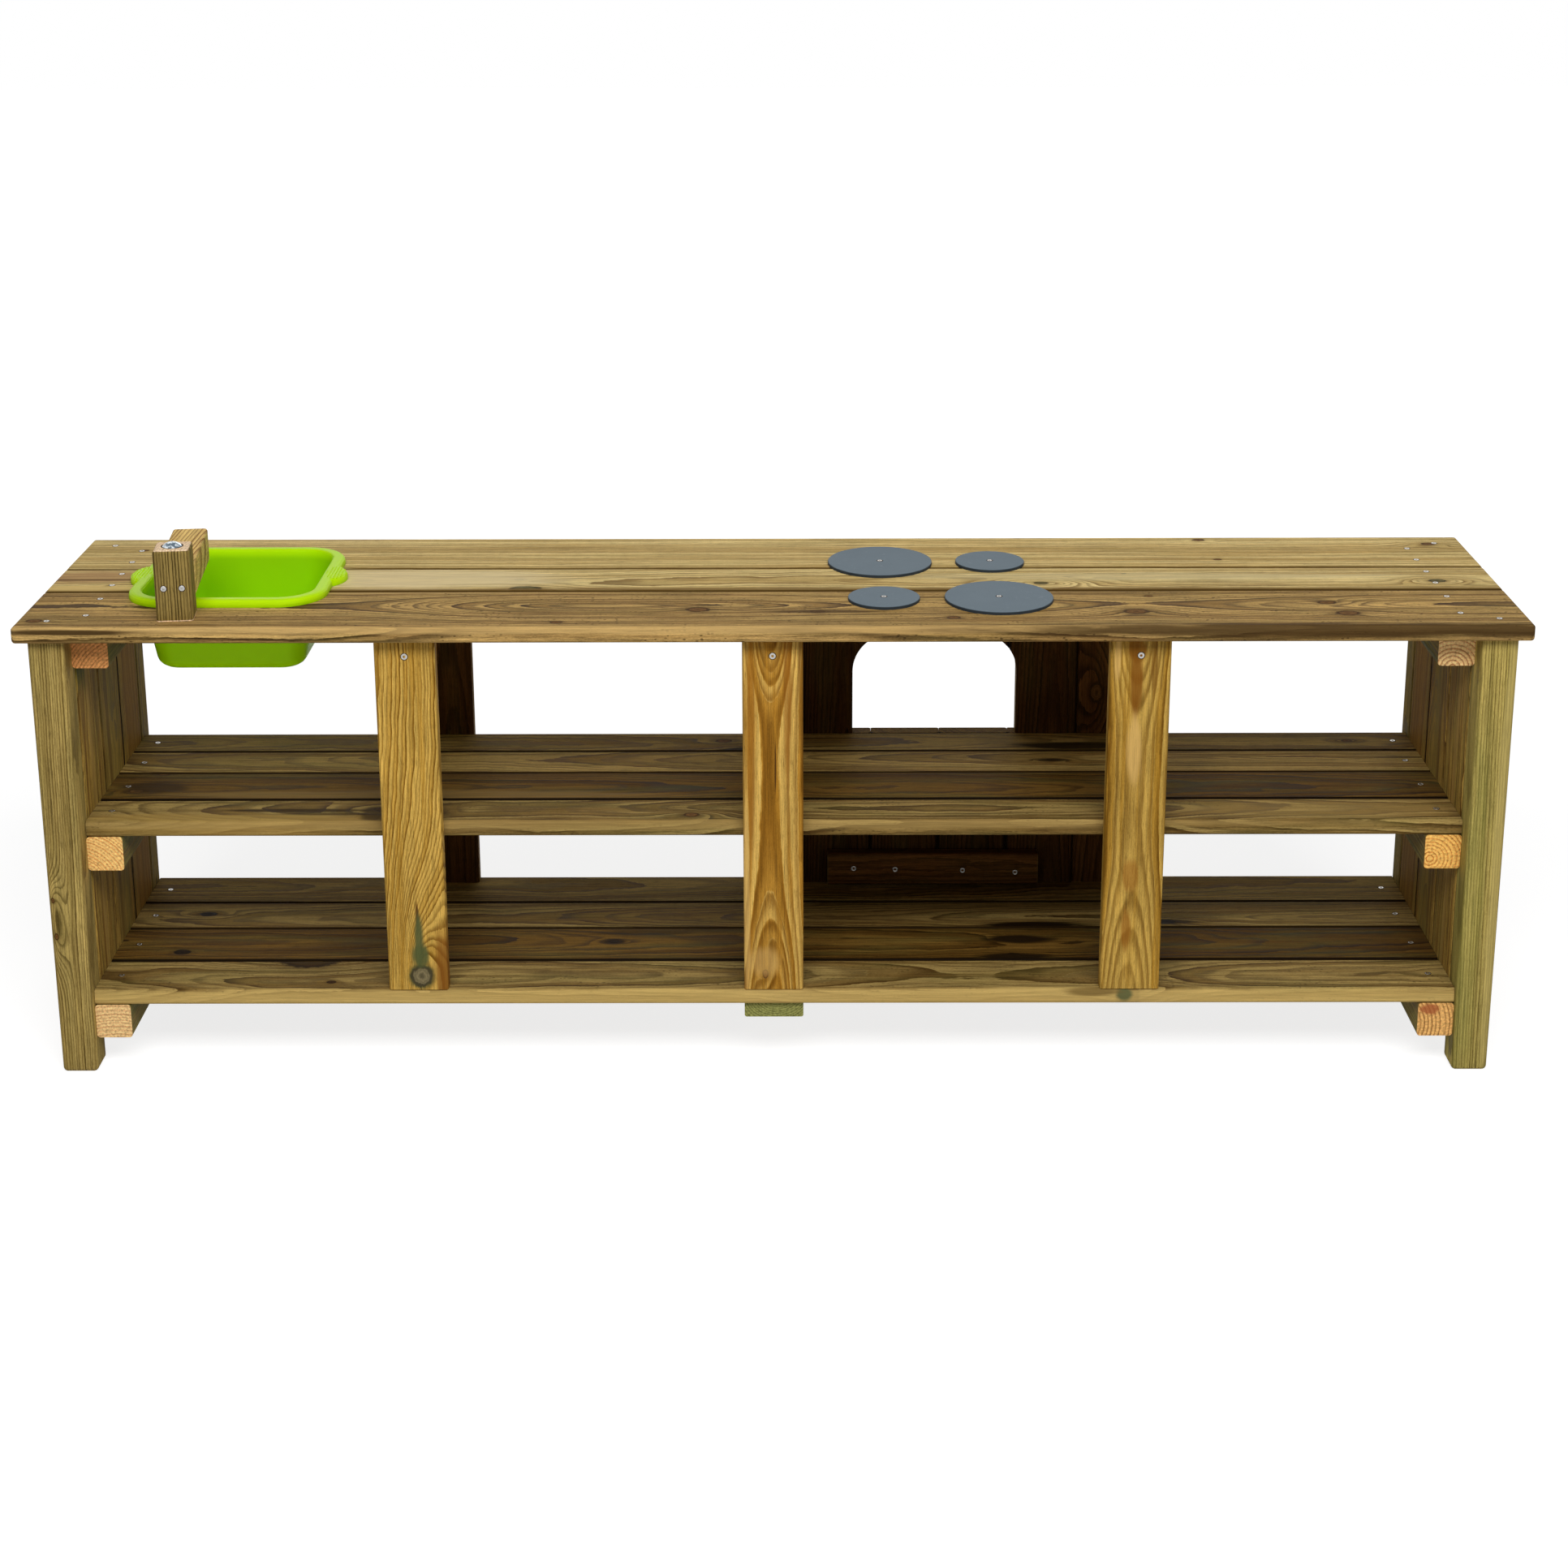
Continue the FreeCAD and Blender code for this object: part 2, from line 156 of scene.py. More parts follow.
def group(name, inputs, outputs):
    """A node group with sockets that are named in two texts, each with its kind after a slash where it isn't
    a Float: returns it, its graph and its inputs as Values."""
    tree = bpy.data.node_groups.new(name, "ShaderNodeTree")
    for side, text in (("INPUT", inputs), ("OUTPUT", outputs)):
        for item in text.split(", "):
            label, _, kind = item.partition("/")
            tree.interface.new_socket(label, in_out=side, socket_type="NodeSocket" + (kind or "Float"))
    graph = Graph(tree)
    start = tree.nodes.new("NodeGroupInput")
    return tree, graph, {socket.name: Value(graph, socket) for socket in start.outputs if socket.name}


def close(graph, results):
    """Ends a group with its results, by name."""
    end = graph.tree.nodes.new("NodeGroupOutput")
    for label, value in results.items():
        graph.put(end.inputs[label], value)


def call(graph, tree, values):
    """A copy of a group in another tree, with its inputs set: returns its outputs by name."""
    made = graph.tree.nodes.new("ShaderNodeGroup")
    made.node_tree = tree
    for label, value in values.items():
        graph.put(made.inputs[label], value)
    return {socket.name: Value(graph, socket) for socket in made.outputs}


# Wood is one solid pattern in the board's own millimetres: along the grain, across the face, and up out
# of the face, where 0 is the face that shows most. The numbers in the groups are grain sizes in millimetres,
# steps of seed that keep the noises apart, and strengths
KNOT_REACH_ALONG = 3.2  # a knot bends the rings this much further along the grain than across it


def knot_group():
    """A knot pushes the year rings aside. Near is how far a place is from the closest knot, in knot radii."""
    tree, g, i = group("knot", "Place/Vector, Along, Across, Radius, Stretch, Lift, Reach, Lift before, "
                               "Near before", "Lift, Near")
    along, across, _ = g.parts(i["Place"])
    da, dc = along - i["Along"], across - i["Across"]
    ragged = g.noise(g.vector(along / 7, across / 4, 0.0), i["Radius"]) - 0.5
    stretched = da / i["Stretch"]
    distance = g.math("SQRT", stretched * stretched + dc * dc) / i["Radius"] + ragged * 0.6
    wide, long = dc / i["Reach"], da / (i["Reach"] * KNOT_REACH_ALONG)
    lift = i["Lift"] * g.math("EXPONENT", 0.0 - (wide * wide + long * long))
    close(g, {"Lift": i["Lift before"] + lift, "Near": g.math("MINIMUM", i["Near before"], distance)})
    return tree


def blotch_group():
    """A blotch with a ragged edge, over the colour that comes in."""
    tree, g, i = group("blotch", "Colour before/Color, Place/Vector, Centre/Vector, Size/Vector, "
                                 "Colour/Color, Amount, Edge", "Colour/Color")
    offset = g.node("VectorMath", {0: i["Place"], 1: i["Centre"]}, operation="SUBTRACT")
    scaled = g.node("VectorMath", {0: g.out(offset), 1: i["Size"]}, operation="DIVIDE")
    length = g.node("VectorMath", {0: g.out(scaled)}, operation="LENGTH")
    place = g.parts(i["Place"])
    ragged = g.noise(g.grain(place, 90, 8), i["Amount"], 4.0) - 0.5
    distance = g.out(length, "Value") + ragged * 1.1
    amount = g.smooth(distance, 1.0 + i["Edge"], 1.0 - i["Edge"]) * i["Amount"]
    level = g.noise(g.grain(place, 50, 1.2), 2.0, 2.0) * 0.7 + 0.65
    close(g, {"Colour": g.mix(amount, i["Colour before"], g.shade(i["Colour"], level))})
    return tree


def ring_group():
    """Year rings about a pith that runs under the face and may tilt and wander along the board."""
    tree, g, i = group("rings", "Place/Vector, Seed, Pith across, Depth, Tilt across, Spacing, Wave, "
                                "Softness, Lift", "Late, Year")
    slow_wave, quick_wave, jitter = 2.2, 0.6, 1.1
    uneven_over, uneven_by = 3.1, 1.7
    place = along, across, deep = g.parts(i["Place"])
    slow = g.noises(g.grain(place, 270, 120), i["Seed"])
    quick = g.noises(g.grain(place, 55, 22), i["Seed"] + 3.0)
    tiny = g.noises(g.grain(place, 12, 2.2), i["Seed"] + 5.0)
    sideways, up = [i["Wave"] * (slow[k] * slow_wave + quick[k] * quick_wave) for k in (0, 1)]
    x = across - i["Pith across"] - i["Tilt across"] * along + sideways
    y = deep + i["Depth"] + up
    radius = g.math("SQRT", x * x + y * y) + i["Lift"] + tiny[2] * jitter
    uneven = g.noise(g.vector(radius / (i["Spacing"] * uneven_over), 0.0, 0.0), i["Seed"] + 9.0)
    phase = radius / i["Spacing"] + (uneven - 0.5) * uneven_by
    # Within a year the wood darkens slowly and then turns pale at once. A soft board has broader dark lines
    turn = g.math("FRACT", phase)
    year = g.out(g.node("TexWhiteNoise", {"W": g.math("FLOOR", phase) + i["Seed"]}, noise_dimensions="1D"))
    rise = g.smooth(turn, 0.34 - i["Softness"] * 0.3, 0.88 - i["Softness"] * 0.2)
    fall = g.smooth(turn, 1.0, 0.94 - i["Softness"] * 0.2)
    next_year = g.out(g.node("TexWhiteNoise", {"W": g.math("FLOOR", phase) + i["Seed"] + 1.0},
                             noise_dimensions="1D"))
    blend = g.smooth(turn, 0.94, 1.0)
    close(g, {"Late": rise * fall * (year * 0.5 + 0.5), "Year": year + (next_year - year) * blend})
    return tree


PRESERVATIVE_GREEN = srgb(104, 112, 58)
SPECK_BROWN = srgb(48, 34, 16)


def finish_group():
    """Colour, roughness and height of planed pine, from its rings and what lies on them."""
    tree, g, i = group("pine finish", "Place/Vector, Seed, Late amount, Year, Early/Color, Late/Color, "
                                      "Band/Color, Band amount, Green, Contrast, Near, Core colour/Color, "
                                      "Speckle, Halo/Color, Halo amount, Halo reach, Fibre",
                       "Colour/Color, Height, Roughness")
    place = along, across, deep = g.parts(i["Place"])
    seed = i["Seed"]
    fibre = g.noise(g.grain(place, 45, 1.1), seed + 11.0, 3.0)
    line = g.noise(g.grain(place, 170, 3.2), seed + 10.0, 2.0)
    dash = g.noise(g.grain(place, 16, 0.8), seed + 12.0, 1.0)
    grit = g.noise(g.grain(place, 3, 0.8), seed + 13.0, 2.0)
    streak = g.noise(g.grain(place, 420, 11), seed + 17.0, 3.0)
    mottle = g.noise(g.grain(place, 120, 50), seed + 19.0, 3.0)
    damp = g.noise(g.grain(place, 200, 26), seed + 23.0, 3.0)
    early = g.mix(g.smooth(i["Year"], 0.42, 0.7) * i["Band amount"], i["Early"], i["Band"])
    ring_colour = g.mix(i["Late amount"] * i["Contrast"], early, i["Late"])
    banded = g.mix(g.smooth(streak, 0.5, 0.66) * i["Band amount"], ring_colour, i["Band"])
    greened = g.mix(g.smooth(damp, 0.44, 0.66) * i["Green"], banded, PRESERVATIVE_GREEN)
    fine = ((fibre - 0.5) * 1.1 + (grit - 0.5) * 0.55 + (line - 0.5) * 0.75) * i["Fibre"]
    level = fine + (mottle - 0.5) * 0.5 + 1.03
    worn = g.shade(greened, level)
    dashed = g.mix(g.smooth(dash, 0.56, 0.7) * 0.5, worn, g.shade(i["Late"], 0.55))
    # Near is 1 at a knot's outline: a halo outside it, and inside it rays, circles, a dark rim and a heart
    near = i["Near"]
    haloed = g.mix(g.smooth(near, i["Halo reach"], 1.0) * i["Halo amount"], dashed, i["Halo"])
    rays = g.noise(g.vector(along / 3, across / 1.6, deep / 3), seed + 29.0, 3.0)
    circles = g.math("SINE", near * 17.0) * 0.16
    core = g.shade(i["Core colour"], rays * 0.9 + circles + 0.6)
    knotted = g.mix(g.smooth(near, 1.05, 0.92), haloed, core)
    rim = g.smooth(near, 1.36, 1.06) * g.smooth(near, 0.72, 0.94)
    heart = g.smooth(near, 0.34, 0.12)
    rimmed = g.mix(g.math("MAXIMUM", rim * 0.9, heart * 0.7), knotted, g.shade(i["Core colour"], 0.32))
    cells = g.node("TexVoronoi", {"Vector": g.grain(place, 7, 4), "Scale": 1.0})
    chosen = g.parts(g.out(cells, "Color"))[0]
    patchy = g.smooth(g.noise(g.grain(place, 90, 30), seed + 31.0), 0.45, 0.6)
    dots = g.smooth(g.out(cells, "Distance"), 0.34, 0.2) * g.smooth(chosen, 0.5, 0.55) * patchy * i["Speckle"]
    dotted = g.mix(dots, rimmed, SPECK_BROWN)
    height = i["Late amount"] * 0.35 + fibre * 0.35 + grit * 0.25 - rim * 0.5 - dots * 0.6
    rough = 0.7 - i["Late amount"] * 0.12 + (fibre - 0.5) * 0.2
    close(g, {"Colour": dotted, "Height": height, "Roughness": rough})
    return tree


GROUPS = {"knot": knot_group(), "blotch": blotch_group(), "rings": ring_group(), "finish": finish_group()}

# Wood colours, each early wood, late wood and the broad bands that run along some boards
PALETTES = {
    "worktop": (srgb(236, 209, 142), srgb(122, 90, 36), srgb(178, 144, 80)),
    "front": (srgb(200, 163, 99), srgb(56, 35, 13), srgb(134, 102, 56)),
    "golden": (srgb(218, 176, 86), srgb(122, 82, 18), srgb(184, 136, 46)),
    "amber": (srgb(220, 178, 92), srgb(132, 86, 20), srgb(178, 126, 42)),
    "post": (srgb(182, 156, 90), srgb(88, 68, 28), srgb(144, 120, 62)),
    "green": (srgb(188, 166, 92), srgb(100, 82, 34), srgb(146, 128, 64)),
    "shelf": (srgb(160, 134, 78), srgb(68, 46, 16), srgb(112, 86, 42)),
    "brown": (srgb(108, 79, 32), srgb(40, 24, 5), srgb(74, 50, 16)),
    # This palette is pine painted dark: painted shade for near faces deep under the worktop
    "painted_shade_panel": (srgb(80, 52, 24), srgb(36, 20, 6), srgb(56, 34, 12)),
    "slat": (srgb(186, 150, 74), srgb(70, 48, 16), srgb(124, 88, 36)),
    "cleat": (srgb(140, 122, 70), srgb(98, 80, 40), srgb(120, 100, 54)),
    "tap": (srgb(150, 127, 70), srgb(50, 36, 13), srgb(106, 86, 46)),
    "spout": (srgb(244, 208, 130), srgb(146, 94, 36), srgb(190, 146, 76)),
}
SHADE_AND_GRIME_EDGES = (1.0, 1.0)  # painted shade with grime along both long edges of a board, where it meets the next
KNOT_BROWN = srgb(112, 78, 40)
KNOT_GREEN = srgb(98, 88, 50)


def make_place(graph, node, along, across, face):
    """The board's own coordinates in millimetres, from where the node stands in the frame."""
    low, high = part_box(node)
    xyz = graph.parts(graph.out(graph.node("TexCoord"), "Object"))
    values = []
    for axis in (along, across):
        k = AXES.index(axis)
        values.append((xyz[k] - (low[k] + high[k]) / 2) / MM)
    k = AXES.index(face[1])
    sign, plane = (1, high[k]) if face[0] == "+" else (-1, low[k])
    values.append((xyz[k] - plane) * (sign / MM))
    half = [(high[AXES.index(axis)] - low[AXES.index(axis)]) / 2 / MM for axis in (along, across)]
    return graph.vector(*values), half


FAR = 9.0  # in knot radii
USUAL_REACH = 1.9  # in knot radii
END_GRAIN = (1.6, 0.6)  # from 1.6 to 0.6 mm before an end, the look turns into end grain
ARRIS_WIDTH, ARRIS_DEPTH = (4.5, 1.2), (5.0, 1.0)
BLOTCH_HEIGHTS, BLOTCH_EDGE = (0.0, 60.0), 0.35  # the height and half height where none are given


def make_pine(node, along="X", across="Y", face="+Z", palette="shelf", pith=(0.1, 60), tilt=(0.0, 0.0),
              steps=(), spacing=4.0, wave=6.0, softness=0.0, contrast=0.8, band=0.5, green=0.1, seed=1.0,
              shade=1.0, knots=(), blotches=(), end=None, speckle=0.0, core=KNOT_BROWN,
              halo=(None, 0.35, 2.6), edges=(0.0, 0.0), outer=None, fibre=1.5, stretch=1.6):
    """Gives one board its own wood. Places are shares of the half length and half width, sizes millimetres.

    pith is its place across and its depth under the face, and tilt how it leans in both. steps are changes
    of that depth: from one share of the length to another, by an amount. A knot is (along, across, radius,
    rings that it lifts, reach of the lift), and stretch is its length over its width. A blotch is (along,
    across, half length, half width, colour, amount, height, half height). end is the early and the late
    wood of the end grain, edges the amounts of painted shade and grime along the two long edges, where boards
    meet, halo the colour, amount and reach round a knot, and outer the palette of the side that faces the
    other way, where the board's own palette is painted dark as shade on the near side."""
    material = bpy.data.materials.new("pine_" + node)
    material.use_nodes = True
    g = Graph(material.node_tree)
    place, (half_length, half_width) = make_place(g, node, along, across, face)
    from_middle, sideways, outward = g.parts(place)
    share = from_middle / half_length
    depth = from_middle * tilt[1] + pith[1]
    for start, stop, amount in steps:
        depth = depth + g.smooth(share, start, stop) * amount
    lift, near = 0.0, FAR
    for u, v, radius, lifted, *reach in knots:
        made = call(g, GROUPS["knot"], {
            "Place": place, "Along": u * half_length, "Across": v * half_width, "Radius": radius,
            "Stretch": stretch, "Lift": lifted * spacing, "Lift before": lift, "Near before": near,
            "Reach": reach[0] if reach else radius * USUAL_REACH})
        lift, near = made["Lift"], made["Near"]
    early, late, banded = [(red * shade, green_ * shade, blue * shade, 1.0)
                           for red, green_, blue, _ in PALETTES[palette]]
    if outer:
        normal = g.parts(g.out(g.node("TexCoord"), "Normal"))[AXES.index(face[1])]
        away = g.smooth(normal * (1 if face[0] == "+" else -1), 0.35, -0.35)
        early, late, banded = [g.mix(away, near_one, far_one)
                               for near_one, far_one in zip((early, late, banded), PALETTES[outer])]
    rings = call(g, GROUPS["rings"], {
        "Place": place, "Seed": seed, "Pith across": pith[0] * half_width, "Depth": depth,
        "Tilt across": tilt[0], "Spacing": spacing, "Wave": wave, "Softness": softness, "Lift": lift})
    looks = call(g, GROUPS["finish"], {
        "Place": place, "Seed": seed, "Late amount": rings["Late"], "Year": rings["Year"], "Early": early,
        "Late": late, "Band": banded, "Band amount": band, "Green": green, "Contrast": contrast, "Near": near,
        "Core colour": core, "Speckle": speckle, "Halo": halo[0] or late, "Halo amount": halo[1],
        "Halo reach": halo[2], "Fibre": fibre})
    colour = looks["Colour"]
    if end:
        at_end = g.smooth(g.math("ABSOLUTE", from_middle), *[half_length - before for before in END_GRAIN])
        speck = g.noise(g.vector(sideways / 3.0, outward / 3.0, 0.0), seed, 3.0)
        grain = g.shade(g.mix(rings["Late"] * 0.85, end[0], end[1]), speck * 2.2 - 0.06)
        colour = g.mix(at_end, colour, grain)
    for u, v, long, wide, tone, amount, *heights in blotches:
        height, half_height = heights or BLOTCH_HEIGHTS
        made = call(g, GROUPS["blotch"], {
            "Colour before": colour, "Place": place, "Centre": (u * half_length, v * half_width, height),
            "Size": (long, wide, half_height), "Colour": tone, "Amount": amount, "Edge": BLOTCH_EDGE})
        colour = made["Colour"]
    # Painted shade with grime along the long edges where boards meet: late wood darkened over the rounded
    # arris
    for side, amount in zip((-1, 1), edges):
        near_edge = g.smooth(sideways * side, *[half_width - before for before in ARRIS_WIDTH])
        arris = near_edge * g.smooth(outward, *[-below for below in ARRIS_DEPTH]) * amount
        colour = g.mix(arris, colour, g.shade(late, 0.3))
    shader = material.node_tree.nodes["Principled BSDF"]
    g.put(shader.inputs["Base Color"], colour)
    g.put(shader.inputs["Roughness"], looks["Roughness"])
    shader.inputs["Specular IOR Level"].default_value = 0.04
    g.put(shader.inputs["Normal"], g.bump(looks["Height"], 0.6, 0.5 * MM))
    dress(node, material)


def dress(node, material):
    """Gives a node this material alone."""
    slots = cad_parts[node].data.materials
    slots.clear()
    slots.append(material)


# Worktop: a brown front plank with arched figure, and two lighter planks behind it
def dress_worktop():
    pale, dark = srgb(206, 170, 108), srgb(72, 52, 26)
    make_pine("worktop_front_plank", palette="front", pith=(0.16, 50), spacing=3.6, wave=3.2, seed=12.0,
              steps=[(-0.6, -0.25, -42), (-0.2, 0.2, 26), (0.2, 0.5, 16), (0.5, 0.95, -22)],
              contrast=1.0, band=0.7, green=0.12, speckle=0.7, edges=(0.0, 0.8), fibre=2.0,
              knots=[(-0.10, -0.06, 8, 2), (0.24, -0.52, 4.5, 2), (0.485, -0.2, 8.5, 3), (0.51, 0.66, 3, 1),
                     (0.746, 0.28, 6.5, 2), (0.765, -0.32, 8, 3), (-0.285, -0.74, 4, 1),
                     (-0.976, -0.62, 5.5, 2), (0.06, -0.18, 5, 1)],
              blotches=[(-0.1, -1.0, 1100, 5, pale, 0.7, -3.0, 6.0),
                        (0.75, -1.0, 420, 14, dark, 0.9, -6.0, 9.0),
                        (-0.62, 0.98, 330, 8, srgb(214, 178, 114), 0.9, -2.0, 9.0),
                        (-0.93, -1.0, 90, 6, dark, 0.95, -6.0, 3.4),
                        (0.06, -0.18, 74, 7, dark, 0.85)])
    light = {"palette": "worktop", "contrast": 0.9, "green": 0.12, "fibre": 1.2}
    knots = {"left": [(0.2, -0.5, 2, 1)],
             "right": [(-0.655, -0.84, 11, 2), (-0.67, 0.0, 3, 1), (0.222, -0.4, 5, 7, 17),
                       (0.9, -0.26, 6, 5, 15), (0.37, 0.44, 1.6, 0)]}
    patches = {"left": [(-0.2, 0.3, 90, 26, srgb(184, 142, 96), 0.7),
                        (-0.2, -0.7, 90, 12, srgb(232, 198, 124), 0.7),
                        (-0.5, 0.05, 90, 4, srgb(96, 66, 34), 0.8)],
               "right": [(-0.86, 0.1, 190, 40, srgb(240, 218, 166), 0.8),
                         (0.4, 0.2, 300, 16, srgb(232, 214, 160), 0.5)]}
    near_edge = (-0.1, -1.0, 1300, 11, srgb(120, 90, 40), 0.85, -3.0, 12.0)
    for side, pith, band, shade in (("left", 0.1, 0.4, 1.0), ("right", -0.15, 0.55, 1.03)):
        make_pine("worktop_middle_plank_" + side, pith=(pith, 50), tilt=(0.002, -0.012), spacing=4.2,
                  wave=8.0, seed=31.0, knots=knots[side], core=KNOT_GREEN, edges=(1.0, 0.6), band=band,
                  shade=shade, blotches=[near_edge, *patches[side]], **light)
    make_pine("worktop_rear_plank", pith=(2.0, 30), tilt=(-0.006, 0.0), spacing=4.4, wave=7.0, seed=45.0,
              band=0.6, shade=1.14, edges=(0.9, 0.3),
              knots=[(0.62, 0.8, 4.5, 3), (0.632, -0.52, 3, 1), (0.95, 0.5, 5, 4, 14), (-0.91, 0.22, 3, 1)],
              **light)


# End frames. Each cleat's end shows its own rings: where their pith lies, their spacing, early and late wood
CLEAT_ENDS = {
    "top_left": ((2.6, -40), 4.0, srgb(232, 164, 98), srgb(158, 94, 50)),
    "top_right": ((-0.2, -2), 5.2, srgb(255, 214, 148), srgb(168, 94, 46)),
    "middle_left": ((-1.6, -20), 4.0, srgb(255, 210, 130), srgb(216, 132, 62)),
    "middle_right": ((-0.7, 13), 4.8, srgb(255, 200, 108), srgb(186, 98, 32)),
    "bottom_left": ((0.2, -90), 4.6, srgb(250, 210, 146), srgb(190, 124, 76)),
    "bottom_right": ((-2.5, 15), 5.4, srgb(244, 188, 112), srgb(122, 66, 26)),
}


def dress_ends():
    make_pine("post_front_left", "Z", "X", "-Y", "post", pith=(-4.5, 14), tilt=(0.02, 0.0), spacing=3.3,
              wave=3.0, contrast=0.95, green=0.1, seed=3.0,
              knots=[(-0.35, -0.7, 2.4, 6, 14), (-0.18, -0.75, 2.0, 5, 12)])
    make_pine("post_front_right", "Z", "X", "-Y", "green", pith=(4.5, 14), tilt=(-0.02, 0.0), spacing=3.6,
              wave=1.6, contrast=0.95, green=0.14, seed=8.0,
              blotches=[(-0.3, -0.6, 220, 14, srgb(132, 138, 66), 0.25),
                        (0.1, 0.75, 320, 8, srgb(206, 184, 112), 0.5)])
    seam, heart = srgb(30, 22, 10), (-1.0, -0.35, 6, 12, srgb(176, 96, 56), 0.85, -37.0, 7.0)
    green_foot = (0.94, -0.86, 60, 26, srgb(66, 82, 20))
    for number, side in enumerate(("left", "right")):
        make_pine("post_rear_" + side, "Z", "X", "+Y", "post", pith=(3.5, 20), tilt=(0.01, 0.0), spacing=3.4,
                  wave=5.0, green=0.3, seed=60.0 + number)
        inner = "+X" if side == "left" else "-X"
        make_pine("end_slats_" + side, "Z", "Y", inner, "slat", pith=(0.1, 40), tilt=(0.02, 0.03),
                  spacing=3.4, wave=16.0, green=0.25, band=0.7, contrast=0.9, seed=21.0 + number,
                  fibre=2.0,
                  blotches=[(0.0, 0.02, 600, 30, srgb(158, 138, 72), 0.5),
                            (0.0, -0.12, 500, 6, srgb(92, 60, 24), 0.5),
                            (0.0, 0.72, 600, 34, srgb(164, 116, 50), 0.5),
                            (0.0, -0.7, 560, 7, srgb(186, 152, 84), 0.5),
                            (0.0, -0.34, 600, 2.0, seam, 0.9), (0.0, 0.34, 600, 2.0, seam, 0.9),
                            (*green_foot, 0.75 if side == "left" else 0.0, 0.0, 8.0)])
        for place in ("top", "middle", "bottom"):
            pith, spacing, early, late = CLEAT_ENDS[f"{place}_{side}"]
            make_pine(f"cleat_{place}_{side}", "Y", "X", "-Z", "cleat", pith=pith, spacing=spacing, wave=1.2,
                      green=0.55, seed=70.0 + number + len(place), end=(early, late),
                      blotches=[heart] if (place, side) == ("bottom", "right") else [])


